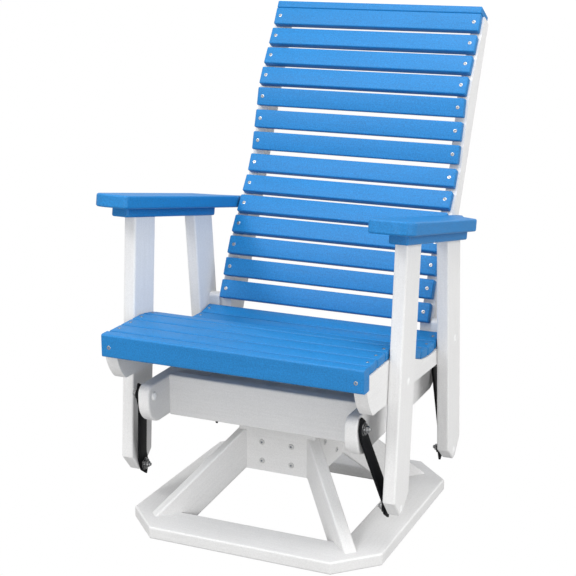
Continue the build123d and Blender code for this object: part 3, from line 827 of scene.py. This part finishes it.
def threaded_end(radius: float, start: float, end: float, pitch: float = 1.25) -> Shell:
    """A bolt's end with a rolled thread.

    The radius is radius - depth * (1 - |saw|), where saw goes from -1 to 1 over each pitch of z / pitch + a / 2 pi, and
    the depth fades to nothing over the last pitch at both ends.

    Args:
        radius: of the bolt.
        start: where the thread begins along z.
        end: where it ends.
        pitch: of the thread.

    Returns:
        The threaded end.
    """
    z = np.linspace(start, end, int(abs(end - start) / pitch * 8) + 1)
    angle = np.linspace(0.0, 2 * math.pi, 24, endpoint=False)
    phase = (z[:, None] / pitch + angle[None] / (2 * math.pi)) % 1.0
    saw = np.abs(phase * 2 - 1)
    fade = np.clip(np.minimum(z - min(start, end), max(start, end) - z) / pitch, 0.0, 1.0)[:, None]
    r = radius - 0.6 * (1 - saw) * fade - 0.8 * (1 - np.clip((max(start, end) - z) / pitch, 0.0, 1.0))[:, None]
    grid = np.stack([r * np.cos(angle), r * np.sin(angle), np.broadcast_to(z[:, None], r.shape)], -1)
    return Shell(grid)


def domed_cap(radius: float, skirt: float, dome: float) -> Shell:
    """A moulded cap: a straight skirt, a rounded rim and a low dome z = skirt + dome * (1 - (r / radius) ** 2).

    Args:
        radius: of the cap.
        skirt: the skirt's height.
        dome: how far the dome rises over it.

    Returns:
        The cap.
    """
    r = radius * np.sin(np.linspace(math.pi / 2, 0.06, 9))
    over = [(skirt + dome * (1 - (value / radius) ** 2), value) for value in r[1:]]
    return turned([(0.0, radius), (skirt * 0.8, radius), (skirt, radius * 0.985), *over], 32)


# Sub-assemblies


@dataclass
class Slats:
    """The seat's ten slats, the back's fourteen, the back's cap and the screws that hold them, all on the chair."""

    seat_length: float = 544.0
    back_length: float = 488.0
    edge: float = 3.0
    screw_radius: float = 4.1
    screw_height: float = 0.5
    seat_screw_radius: float = 3.4
    seat_screw_x: float = 261.0
    back_screw_x: float = 231.0
    board_screw_x: float = 257.0
    board_screw_drop: float = 26.0
    board_screw_sink: float = 0.1
    lower_rows: int = 7

    def laid(self, shell: Shell, x: float, point: Point, slope: float) -> Shell:
        """A shell placed in the side view: its y along the slope, its z square to it and up.

        Args:
            shell: in millimetres.
            x: of its origin.
            point: of its origin, in the side view.
            slope: of its y axis, in degrees.

        Returns:
            The shell in metres.
        """
        angle = math.radians(slope)
        y = np.array([0.0, math.cos(angle), math.sin(angle)]) * MM
        z = np.array([0.0, -math.sin(angle), math.cos(angle)]) * MM
        return shell.placed(SIDE.at(x, point), (MM, 0.0, 0.0), y, z)

    def seat_slats(self) -> list[Shell]:
        """The seat's slats on their slopes."""
        board = rounded_board(self.seat_length, SIDE.slat_width, SIDE.slat_depth, self.edge)
        return [self.laid(board, 0.0, point, slope) for point, slope in SIDE.seat]

    def back_slats(self) -> list[Shell]:
        """Lays the back's slats: y runs up the back and z stands off it to the front.

        Returns:
            The slats, bottom to top.
        """
        board = rounded_board(self.back_length, SIDE.slat_width, SIDE.slat_depth, self.edge)
        shells = []
        for point, lean in SIDE.back:
            foot = step(point, -lean, SIDE.slat_depth)
            shells.append(self.laid(board, 0.0, foot, 90 - lean))
        return shells

    def cap(self) -> Shell:
        """Lays the board along the top of the back.

        Returns:
            The board.
        """
        depth = SIDE.slat_depth + SIDE.support_top_depth
        board = rounded_board(self.back_length, depth, SIDE.cap_depth, self.edge)
        return self.laid(board, 0.0, SIDE.back_top, -SIDE.back_leans[-1])

    def pair(self, head: Shell, x: float, point: Point, slope: float) -> list[Shell]:
        """One screw head at x on each side of the chair's middle."""
        return [self.laid(head, side * x, point, slope) for side in (-1, 1)]

    def seat_screws(self) -> list[Shell]:
        """Puts one screw in each end of every seat slat.

        Returns:
            The heads.
        """
        head = screw_head(self.seat_screw_radius, self.screw_height)
        shells = []
        for point, slope in SIDE.seat:
            top = step(step(point, slope, SIDE.slat_width / 2), slope + 90, SIDE.slat_depth)
            shells += self.pair(head, self.seat_screw_x, top, slope)
        return shells

    def back_screws(self) -> list[Shell]:
        """Puts one screw in each end of every back slat, and two in the front board.

        Returns:
            The heads.
        """
        head = screw_head(self.screw_radius, self.screw_height)
        shells = []
        for point, lean in SIDE.back:
            face = step(point, 90 - lean, SIDE.slat_width / 2)
            shells += self.pair(head, self.back_screw_x, face, 90 - lean)
        front = (-SIDE.seat_front + self.board_screw_sink, SIDE.seat_top - self.board_screw_drop)
        return shells + self.pair(head, self.board_screw_x, front, 90.0)

    def build(self, finishes: Finishes) -> None:
        """Makes the slats, the cap and the screws.

        Args:
            finishes: materials by name.
        """
        rows = self.back_slats()
        for name, shells, node in (
            ("seat_slat_boards", self.seat_slats(), "seat_slats"),
            ("back_slat_boards_lower", rows[: self.lower_rows], "back_slats_lower"),
            ("back_slat_boards_upper", rows[self.lower_rows :], "back_slats_upper"),
            ("back_cap_board", [self.cap()], "back_cap"),
        ):
            make_piece(name, shells, [finishes["blue_x"]], "chair", [node])
        for name, shells, metal in (
            ("seat_slat_screws", self.seat_screws(), "nut"),
            ("back_slat_screws", self.back_screws(), "steel"),
        ):
            # The second finish paints the shade in each screw's socket.
            make_piece(name, shells, [finishes[metal], finishes["socket"]], "chair")


@dataclass
class Links:
    """The four bent links with their bearing cups, and the bolts, nuts and caps of their eight pivots."""

    length: float = 186.0
    width: float = 32.0
    thickness: float = 4.5
    reach: float = 26.0
    point: float = 20.0
    pad: float = 20.0
    past_point: float = 6.0
    tip_half: float = 1.2
    least_half: float = 0.6
    bend_softness: float = 20.0
    shoulder_softness: float = 1.5
    edge: float = 0.9
    upper_x: float = 237.0
    lower_x: float = 272.0
    cup_radius: float = 11.0
    lip_radius: float = 13.5
    cup_face: float = 9.8
    cup_back: float = 1.6
    cup_clearance: float = 0.4
    open_play: float = 4.6
    bolt: float = 4.0
    bolt_head: tuple[Point, ...] = ((-3.0, 5.2), (-2.4, 6.4), (0.0, 6.5))
    thread_ease: float = 0.02
    plain_past: float = 4.0
    bolt_past: float = 21.0
    nut: tuple[float, float, float, float] = (7.0, 5.0, 11.5, 1.6)
    rail_nut_x: float = 245.4
    leg_nut_x: float = 263.6
    cap_radius: float = 8.5
    cover: tuple[float, float] = (3.0, 2.0)
    plug: tuple[float, float] = (4.0, 0.9)
    rail_inner: float = 209.0
    rail_outer: float = 235.0
    leg_inner: float = 274.0
    leg_outer: float = 300.0
    leg_recess: float = 7.0
    upper: tuple[Point, Point] = ((-221.0, 287.0), (221.0, 287.0))
    front_foot: float = 164.0
    rear_foot_setback: float = 26.9
    leg_bolt_drop: float = 71.0
    leg_bolt_offset: float = 5.0

    def lower(self, end: int) -> tuple[float, float]:
        """Finds the lower pivot, one link's length from the upper one.

        Args:
            end: 0 for the front links, 1 for the rear ones.

        Returns:
            The pivot in the side view.
        """
        y, z = self.upper[end]
        foot = (-self.front_foot, SIDE.seat_rear + self.rear_foot_setback)[end]
        return (foot, z - math.sqrt(self.length**2 - (y - foot) ** 2))

    def strip(self) -> Shell:
        """The bent strip, along u from the upper pivot, with its thickness along x.

        Its middle line is x(u) = from + (to - from) * (h(u - a) - h(u - b) + b - a) / (2 * (b - a)), where
        h(t) = sqrt(t * t + softness) rounds the bends at a and b. Its half width is the softer lesser of half its full
        width and the slant of its pointed ends.

        Returns:
            The strip.
        """
        u = np.concatenate(
            [
                np.linspace(-self.reach, -self.reach + self.point + self.past_point, 14),
                np.linspace(self.point / 2, self.length - self.point / 2, 40),
                np.linspace(self.length + self.reach - self.point - self.past_point, self.length + self.reach, 14),
            ]
        )
        a, b = self.pad, self.length - self.pad
        soft = [np.sqrt((u - bend) ** 2 + self.bend_softness) for bend in (a, b)]
        ramp = (soft[0] - soft[1] + b - a) / (2 * (b - a))
        top = self.upper_x + self.thickness / 2
        bottom = self.lower_x - self.thickness / 2
        x = top + (bottom - top) * ramp
        slant = (self.width / 2 - self.tip_half) / self.point
        tip = np.minimum(u + self.reach, self.length + self.reach - u) * slant + self.tip_half
        full = np.full_like(u, self.width / 2)
        half = np.maximum((tip + full - np.sqrt((tip - full) ** 2 + self.shoulder_softness)) / 2, self.least_half)
        r = self.edge
        centres, directions = rounded_section(2.0, self.thickness, r, 3)
        side = np.sign(centres[:, 0] - 1.0)
        depth = centres[:, 1] - self.thickness / 2
        v = side[None] * (half - r)[:, None] + r * directions[None, :, 0]
        t = depth[None] + r * directions[None, :, 1]
        slope = np.gradient(x, u)
        long = np.sqrt(1 + slope**2)
        grid = np.stack([u[:, None] - t * (slope / long)[:, None], v, x[:, None] + t / long[:, None]], -1)
        return Shell(grid)

    def cup(self, play: float = 0.0) -> list[Shell]:
        """Makes a bearing cup: its body through the strip, the pressed lip, the cone and the inner race.

        Args:
            play: room round the bolt where the linkage is opened, which takes the race's place.

        Returns:
            The cup and its race, with the lip to the end of z.
        """
        lip = self.cup_back + self.thickness
        outer = [
            (0.0, self.bolt + 3.2),
            (0.0, self.cup_radius - 0.5),
            (0.4, self.cup_radius),
            (lip, self.cup_radius),
            (lip, self.lip_radius - 0.3),
            (lip + 0.3, self.lip_radius),
            (lip + 0.9, self.lip_radius),
            (lip + 1.3, self.lip_radius - 0.5),
            (lip + 3.0, self.cup_face + 0.5),
            (lip + 3.35, self.cup_face),
            (lip + 3.4, self.cup_face - 1.2),
            (lip + 2.9, self.cup_face - 2.0),
            (lip + 2.9, self.bolt + 2.6),
        ]
        if play:
            bore = self.bolt + play
            ring = [(0.0, bore), *(row for row in outer if row[1] > bore + 0.5), (lip + 3.2, bore)]
            return [turned(ring, 40, looped=True)]
        race = [
            (0.2, self.bolt + 0.05),
            (0.0, self.bolt + 0.4),
            (0.0, self.bolt + 2.4),
            (lip + 3.3, self.bolt + 2.4),
            (lip + 3.5, self.bolt + 2.1),
            (lip + 3.5, self.bolt + 0.05),
        ]
        return [turned(rows, 40, looped=True) for rows in (outer, race)]

    def link(self, end: int) -> tuple[Shell, list[Shell]]:
        """Puts one left link in its place.

        Args:
            end: 0 for the front link, 1 for the rear one.

        Returns:
            Its strip and its two cups.
        """
        high, low = np.array(self.upper[end]), np.array(self.lower(end))
        along = np.array([0.0, *(low - high)]) / self.length
        across = np.array([0.0, along[2], -along[1]])
        strip = self.strip().placed(SIDE.at(0.0, high), along * MM, across * MM, (MM, 0.0, 0.0))
        cups = SIDE.across(self.cup(), self.rail_outer + self.cup_clearance, 1, [high])
        opened = self.cup((0.0, self.open_play)[end])
        return strip, cups + SIDE.across(opened, self.leg_inner - self.cup_clearance, -1, [low])

    def bolts(self, head_x: float, face_x: float, points: Iterable[Point]) -> list[Shell]:
        """Puts bolts along X: a low head, a plain shank and a threaded end.

        Args:
            head_x: where the head meets the shank.
            face_x: the face of the board that the bolt comes out of.
            points: their places in the side view.

        Returns:
            The bolts.
        """
        way = 1 if face_x > head_x else -1
        plain_x = face_x + way * self.plain_past
        head = turned(self.bolt_head, 32)
        shank = turned([(0.0, self.bolt), (abs(plain_x - head_x), self.bolt)], 24)
        thread = threaded_end(self.bolt - self.thread_ease, 0.0, self.bolt_past - self.plain_past)
        shells = []
        for point in points:
            shells += SIDE.across([head, shank], head_x, way, [point])
            shells += SIDE.across([thread], plain_x, way, [point])
        return shells

    def lag_points(self) -> list[tuple[float, float]]:
        """Finds where the bolts through the legs enter the seat sides.

        Returns:
            Their places in the side view, front and rear.
        """
        level = SIDE.seat_top - self.leg_bolt_drop
        places = []
        for end, lean in enumerate(SIDE.leg_leans):
            y, z = self.lower(end)
            places.append((y + (level - z) * math.tan(math.radians(lean)) + self.leg_bolt_offset, level))
        return places

    def build(self, finishes: Finishes) -> None:
        """Makes the links, then the hardware of the frame's pivots and of the chair's.

        Args:
            finishes: materials by name.
        """
        for end, name in enumerate(("front", "rear")):
            strip, cups = self.link(end)
            for side in ("left", "right"):
                place = f"{name}_{side}"
                for kind, node, coat, left in (
                    ("bent_link", "link", "link", [strip]),
                    ("bearing_cups", "link_bearings", "bearing", cups),
                ):
                    shells = left if side == "left" else [shell.mirrored() for shell in left]
                    coats, nodes = [finishes[coat]], [f"{node}_{place}"]
                    make_piece(f"{kind}_{place}", shells, coats, f"{place}_link", nodes)
        uppers, lowers = list(self.upper), [self.lower(0), self.lower(1)]
        nut = flange_nut(*self.nut)
        cover, plug = (domed_cap(self.cap_radius, *sizes) for sizes in (self.cover, self.plug))
        frame_bolts = self.bolts(self.rail_inner, self.rail_outer, uppers)
        frame_nuts = SIDE.across(nut, self.rail_nut_x, 1, uppers)
        covers = SIDE.across([cover], self.rail_inner, -1, uppers)
        chair_bolts = self.bolts(self.leg_outer - self.leg_recess, self.leg_inner, lowers)
        chair_nuts = SIDE.across(nut, self.leg_nut_x, -1, lowers)
        plugs = SIDE.across([plug], self.leg_outer - self.plug[0], 1, lowers + self.lag_points())
        for name, left, finish, body, slot, node in (
            ("frame_pivot_bolts", frame_bolts, "steel", "glider_frame", "plain_steel", "rail_pivot_bolts"),
            ("frame_pivot_nuts", frame_nuts, "nut", "glider_frame", "plain_steel", "rail_pivot_nuts"),
            ("frame_bolt_caps", covers, "cap", "glider_frame", "white_cap", "rail_bolt_covers"),
            ("leg_pivot_bolt_set", chair_bolts, "steel", "chair", "plain_steel", "leg_pivot_bolts"),
            ("leg_pivot_nut_set", chair_nuts, "nut", "chair", "plain_steel", "leg_pivot_nuts"),
            ("leg_bolt_caps", plugs, "cap", "chair", "white_cap", "leg_plugs"),
        ):
            make_piece(name, both_sides(left), [finishes[finish]], body, [node])


@dataclass
class FrameScrews:
    """The heads that show of the screws in the hub, the ring and the rails, and of the back supports' bolts."""

    ring_heel: float = 247.0
    ring_recess: float = 2.0
    ring_margin: float = 22.0
    ring_offset: float = 6.5
    ring_head: float = 2.0
    ring_head_back: float = 2.3
    hub_half: float = 86.0
    hub_offsets: tuple[float, float] = (-33.0, 33.0)
    hub_levels: tuple[float, float] = (126.0, 167.0)
    hub_head: float = 2.2
    screw_radius: float = 6.2
    screw_socket: float = 0.36
    rail_outer: float = 235.0
    rail_cap: tuple[float, float, float] = (5.95, 1.5, 0.35)
    rail_cap_sink: float = 1.9
    support_inner: float = 222.0
    support_head: tuple[float, float, float] = (8.0, 0.8, 2.2)
    support_level: float = 349.0
    support_insets: tuple[float, float] = (20.0, 46.0)
    flat_board_offsets: tuple[float, ...] = (-82.0, -22.0, 22.0, 82.0)
    flat_board_level: float = 240.0
    cross_board_y: tuple[float, float] = (-142.0, 142.0)
    cross_board_levels: tuple[float, float] = (247.0, 291.0)

    def quarter_ways(self, first: float) -> list[tuple[np.ndarray, np.ndarray]]:
        """Works out four ways out from the swivel axis, a quarter turn apart.

        Args:
            first: how far round the first one is, in quarter turns.

        Returns:
            Each way out, with the level way square to it.
        """
        turns = [(math.cos(angle), math.sin(angle)) for angle in (np.arange(4) + first) * math.pi / 2]
        return [(np.array([c, s, 0.0]), np.array([-s, c, 0.0])) for c, s in turns]

    def hub_heads(self) -> list[Shell]:
        """Puts domed heads on each face of the hub, facing out.

        Returns:
            The heads.
        """
        head = screw_head(self.screw_radius, self.hub_head, self.screw_socket)
        axis, up = SIDE.at(0.0, (0.0, 0.0)), np.array([0.0, 0.0, MM])
        shells = []
        for out, along in self.quarter_ways(0.0):
            for offset in self.hub_offsets:
                face = axis + (out * self.hub_half + along * offset) * MM
                shells += [head.placed(face + up * level, along * MM, up, out * MM) for level in self.hub_levels]
        return shells

    def ring_heads(self) -> list[Shell]:
        """Puts heads in the recesses under the ring, two at each of its mitres, facing down.

        Returns:
            The heads.
        """
        head = screw_head(self.screw_radius, self.ring_head, self.screw_socket)
        middle = SIDE.at(0.0, (0.0, self.ring_recess + self.ring_head_back))
        shells = []
        for out, along in self.quarter_ways(0.5):
            for offset in (-self.ring_offset, self.ring_offset):
                place = middle + (out * (self.ring_heel + self.ring_margin) + along * offset) * MM
                shells.append(head.placed(place, along * MM, out * MM, (0.0, 0.0, -MM)))
        return shells

    def rail_heads(self) -> list[Shell]:
        """Puts white capped heads in the recesses of the rails' outer faces.

        Returns:
            The heads.
        """
        points = [(y, self.flat_board_level) for y in self.flat_board_offsets]
        points += [(y, z) for y in self.cross_board_y for z in self.cross_board_levels]
        return both_sides(SIDE.across([domed_cap(*self.rail_cap)], self.rail_outer - self.rail_cap_sink, 1, points))

    def support_heads(self) -> list[Shell]:
        """Puts the carriage bolts' round heads on the back supports' inner faces.

        Returns:
            The heads.
        """
        low, lean = SIDE.back[0]
        foot = step(low, -lean, SIDE.slat_depth)[0]
        points = [(foot + inset, self.support_level) for inset in self.support_insets]
        return both_sides(SIDE.across([domed_cap(*self.support_head)], self.support_inner, -1, points))

    def build(self, finishes: Finishes) -> None:
        """Makes the heads. They stand for the whole fasteners, whose shanks are out of sight in the boards.

        Args:
            finishes: materials by name.
        """
        screws = [*self.hub_heads(), *self.ring_heads()]
        for name, shells, looks, body, slot, node in (
            # The base screws' second finish paints the shade in their sockets.
            ("base_screw_heads", screws, ("coated", "socket"), "base", "plain_steel", "base_screws"),
            ("rail_screw_caps", self.rail_heads(), ("cap",), "glider_frame", "white_cap", "frame_screws"),
            ("support_bolt_heads", self.support_heads(), ("steel",), "chair", "plain_steel", "support_bolts"),
        ):
            make_piece(name, shells, [finishes[look] for look in looks], body, [node])


@dataclass
class SwivelBearing:
    """The swivel: two square pressed plates with rolled races, and a ring of balls in a cage between them."""

    cap_top: float = 208.0
    height: float = 19.0
    plate: float = 3.0
    side: float = 170.0
    corner: float = 1.2
    race_radius: float = 60.0
    race_half: float = 14.0
    race_rise: float = 4.0
    edge_roll: tuple[Point, ...] = ((0.8, 0.8), (1.0, 2.4))
    groove_half: float = 5.0
    groove_depth: float = 1.0
    ball: float = 2.4
    balls: int = 44
    cage_half: float = 5.5
    cage_thickness: float = 1.2

    def upright(self, shell: Shell, x: float, y: float, z: float, flip: bool = False) -> Shell:
        """Puts a shell beside the swivel axis.

        Args:
            shell: in millimetres.
            x: its offset to the sitter's left.
            y: its offset to the back.
            z: its level.
            flip: True to turn it upside down.

        Returns:
            The shell in metres.
        """
        up = -MM if flip else MM
        origin = SIDE.at(x, (y, z))
        return shell.placed(origin, (MM, 0.0, 0.0), (0.0, MM, 0.0), (0.0, 0.0, up))

    def build(self, finishes: Finishes) -> None:
        """Makes both plates with their races, and the caged balls.

        Args:
            finishes: materials by name.
        """
        square = rounded_board(self.side, self.side, self.plate, self.corner, 3)
        square.points[..., 1] -= self.side / 2
        rise, half, groove = self.race_rise, self.race_half, self.groove_half
        section = [(0.0, -half), *((rise * share, inset - half) for share, inset in self.edge_roll), (rise, -groove)]
        section += [(rise - self.groove_depth, 0.0), *((z, -offset) for z, offset in section[::-1])]
        bead = turned([(z, self.race_radius + offset) for z, offset in section], 72, looped=True)
        for name, level, way, body, node in (
            ("swivel_plate_low", self.cap_top, 1, "base", "swivel_lower_plate"),
            ("swivel_plate_high", self.cap_top + self.height, -1, "glider_frame", "swivel_upper_plate"),
        ):
            flip = way < 0
            shells = [self.upright(square, 0, 0, level, flip), self.upright(bead, 0, 0, level + way * self.plate, flip)]
            make_piece(name, shells, [finishes["zinc"]], body, [node])
        middle = self.cap_top + self.height / 2
        sphere = turned([(-self.ball * math.cos(p), self.ball * math.sin(p)) for p in np.linspace(0.15, 2.99, 7)], 10)
        rounds = []
        for angle in np.linspace(0.0, 2 * math.pi, self.balls, endpoint=False):
            x, y = self.race_radius * math.cos(angle), self.race_radius * math.sin(angle)
            rounds.append(self.upright(sphere, x, y, middle))
        inner, outer = self.race_radius - self.cage_half, self.race_radius + self.cage_half
        thick = self.cage_thickness / 2
        cage = turned([(-thick, inner), (thick, inner), (thick, outer), (-thick, outer)], 72, looped=True)
        rounds.append(self.upright(cage, 0, 0, middle))
        make_piece("swivel_caged_balls", rounds, [finishes["steel"]], "base", ["swivel_ball_ring"])


@dataclass
class BoardGrain:
    """Which way each CAD board runs, and so which way its streaks go."""

    arm_slope: float = 10.65
    strut_slope: float = 40.0
    along_x: tuple[str, ...] = (
        "ring_board_front",
        "ring_board_rear",
        "cross_board_front",
        "cross_board_rear",
        "swivel_board_front",
        "swivel_board_rear",
        "hub_plate_front",
        "hub_plate_rear",
        "hub_cap_board",
    )
    along_y: tuple[str, ...] = (
        "ring_board_left",
        "ring_board_right",
        "hub_plate_left",
        "hub_plate_right",
        "rail_left",
        "rail_right",
        "seat_side_left",
        "seat_side_right",
    )

    def leaning(self, lean: float) -> tuple[float, float, float]:
        """The way up that leans back by an angle in degrees."""
        return (0.0, math.sin(math.radians(lean)), math.cos(math.radians(lean)))

    def build(self, finishes: Finishes) -> None:
        """Gives every CAD board its finish.

        Args:
            finishes: materials by name.
        """
        ways: dict[str, bpy.types.Material] = {}
        ways.update({node: finishes["white_x"] for node in self.along_x})
        ways.update({node: finishes["white_y"] for node in self.along_y})
        front, rear = (WHITE_BOARD.make(self.leaning(lean)) for lean in SIDE.leg_leans)
        support = WHITE_BOARD.make(self.leaning(SIDE.support_lean))
        arm = BLUE_BOARD.make(self.leaning(90.0 + self.arm_slope))
        for side in ("left", "right"):
            ways[f"leg_front_{side}"] = front
            ways[f"leg_rear_{side}"] = rear
            ways[f"back_support_{side}"] = support
            ways[f"armrest_{side}"] = arm
            ways[f"arm_cleat_{side}"] = arm
        ways["seat_front_board"] = finishes["blue_x"]
        fall, level = math.sin(math.radians(self.strut_slope)), math.cos(math.radians(self.strut_slope))
        for turn, corner in enumerate(("rear_left", "rear_right", "front_right", "front_left")):
            angle = math.radians(45 + 90 * turn)
            way = (math.cos(angle) * level, math.sin(angle) * level, -fall)
            ways[f"base_strut_{corner}"] = WHITE_BOARD.make(way)
        for node in ("leg_bolts", "swivel_lower_bolts", "swivel_upper_bolts", "swivel_rivet"):
            ways[node] = finishes["steel"]
        for node, finish in ways.items():
            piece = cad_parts[node]
            for place in piece.material_slots:
                place.material = finish
            if not piece.material_slots:
                piece.data.materials.append(finish)
        log.info("boards and bolts dressed: %d", len(ways))


@dataclass
class Studio:
    """The camera where the photograph was taken from, soft lights and a pale floor."""

    place: tuple[float, float, float] = (1.08756, -2.59379, 1.22944)
    tilt: float = 74.56
    turn: float = 23.84
    lens: float = 85.75
    sensor: float = 36.0
    sight: float = 60.0
    aim: tuple[float, float, float] = (0.0, 0.0, 0.45)
    softboxes: tuple[tuple[str, Point, float, float], ...] = (
        ("overhead_softbox", (0.4, -0.6, 3.4), 1.8, 50.0),
        ("key_softbox", (-1.5, -2.4, 3.0), 0.8, 44.0),
        ("low_softbox", (0.7, -3.6, 0.75), 1.4, 29.0),
        ("side_softbox", (3.4, -0.2, 1.6), 2.2, 50.0),
    )
    floor_half: float = 14.0
    floor_greys: tuple[float, float] = (0.36, 0.38)
    surround: tuple[float, float] = (0.88, 1.05)

    def camera(self) -> None:
        """Makes the camera."""
        data = bpy.data.cameras.new("photo_camera")
        data.lens = self.lens
        data.sensor_width = self.sensor
        data.clip_end = self.sight
        camera = bpy.data.objects.new("photo_camera", data)
        camera.location = self.place
        camera.rotation_euler = Euler((math.radians(self.tilt), 0.0, math.radians(self.turn)))
        bpy.context.scene.collection.objects.link(camera)
        bpy.context.scene.camera = camera

    def softbox(self, name: str, place: Point, size: float, power: float) -> None:
        """Adds a square area light that faces the chair.

        Args:
            name: its name.
            place: where it hangs.
            size: of its side.
            power: in watts.
        """
        data = bpy.data.lights.new(name, "AREA")
        data.shape = "SQUARE"
        data.size = size
        data.energy = power
        light = bpy.data.objects.new(name, data)
        light.location = place
        light.rotation_euler = (Vector(self.aim) - Vector(place)).to_track_quat("-Z", "Y").to_euler()
        bpy.context.scene.collection.objects.link(light)

    def floor(self) -> None:
        """Makes the pale floor: it looks evenly white, and throws back less light than it shows."""
        graph = Graph("studio_floor")
        cloud = graph.noise(graph.where(), 1.5, 2.0)
        dark, pale = ((grey, grey, grey, 1.0) for grey in self.floor_greys)
        matte = graph.node("ShaderNodeBsdfDiffuse", {}, {"Color": graph.blend(cloud, dark, pale)})
        white = graph.node("ShaderNodeEmission", {}, {"Color": (1.0, 1.0, 1.0, 1.0), "Strength": 1.0})
        seen = graph.node("ShaderNodeLightPath").out("Is Camera Ray")
        both = graph.node("ShaderNodeMixShader", {}, {0: seen, 1: matte.out("BSDF"), 2: white.out("Emission")})
        finish = graph.ended(both.out("Shader"))
        mesh = bpy.data.meshes.new("studio_floor")
        half = self.floor_half
        mesh.from_pydata([(-half, -half, 0), (half, -half, 0), (half, half, 0), (-half, half, 0)], [], [(0, 1, 2, 3)])
        mesh.materials.append(finish)
        floor = bpy.data.objects.new("studio_floor", mesh)
        bpy.context.scene.collection.objects.link(floor)

    def build(self) -> None:
        """Makes the camera, the lights, the floor and the white surround, which throws back less than it shows."""
        self.camera()
        for softbox in self.softboxes:
            self.softbox(*softbox)
        self.floor()
        world = bpy.data.worlds.new("studio_white")
        world.use_nodes = True
        nodes, links = world.node_tree.nodes, world.node_tree.links
        mix = nodes.new("ShaderNodeMixShader")
        links.new(nodes.new("ShaderNodeLightPath").outputs["Is Camera Ray"], mix.inputs[0])
        for socket, strength in enumerate(self.surround, start=1):
            background = nodes.new("ShaderNodeBackground")
            background.inputs["Color"].default_value = (1.0, 1.0, 1.0, 1.0)
            background.inputs["Strength"].default_value = strength
            links.new(background.outputs["Background"], mix.inputs[socket])
        links.new(mix.outputs["Shader"], nodes["World Output"].inputs["Surface"])
        bpy.context.scene.world = world
        bpy.context.scene.view_settings.view_transform = "Standard"


def main() -> None:
    """Makes the finishes, builds the sub-assemblies in order, logging each piece's faces, and sets up the studio."""
    finishes = {
        "white_x": WHITE_BOARD.make((1.0, 0.0, 0.0)),
        "white_y": WHITE_BOARD.make((0.0, 1.0, 0.0)),
        "blue_x": BLUE_BOARD.make((1.0, 0.0, 0.0)),
        "link": LINK_COAT.make(),
        "bearing": BEARING_COAT.make(),
        "steel": Metal.STAINLESS.make(),
        "coated": Metal.COATED.make(),
        "nut": Metal.NUT.make(),
        "zinc": Metal.ZINC.make(),
        # Painted shade: a darker colour for the walls and floors of the screws' sockets.
        "socket": Metal.SOCKET.make(),
        "cap": BOLT_CAP.make(),
    }
    for assembly in (BoardGrain(), Slats(), Links(), FrameScrews(), SwivelBearing()):
        log.info("building %s", type(assembly).__name__)
        assembly.build(finishes)
    Studio().build()


if __name__ == "__main__":
    main()
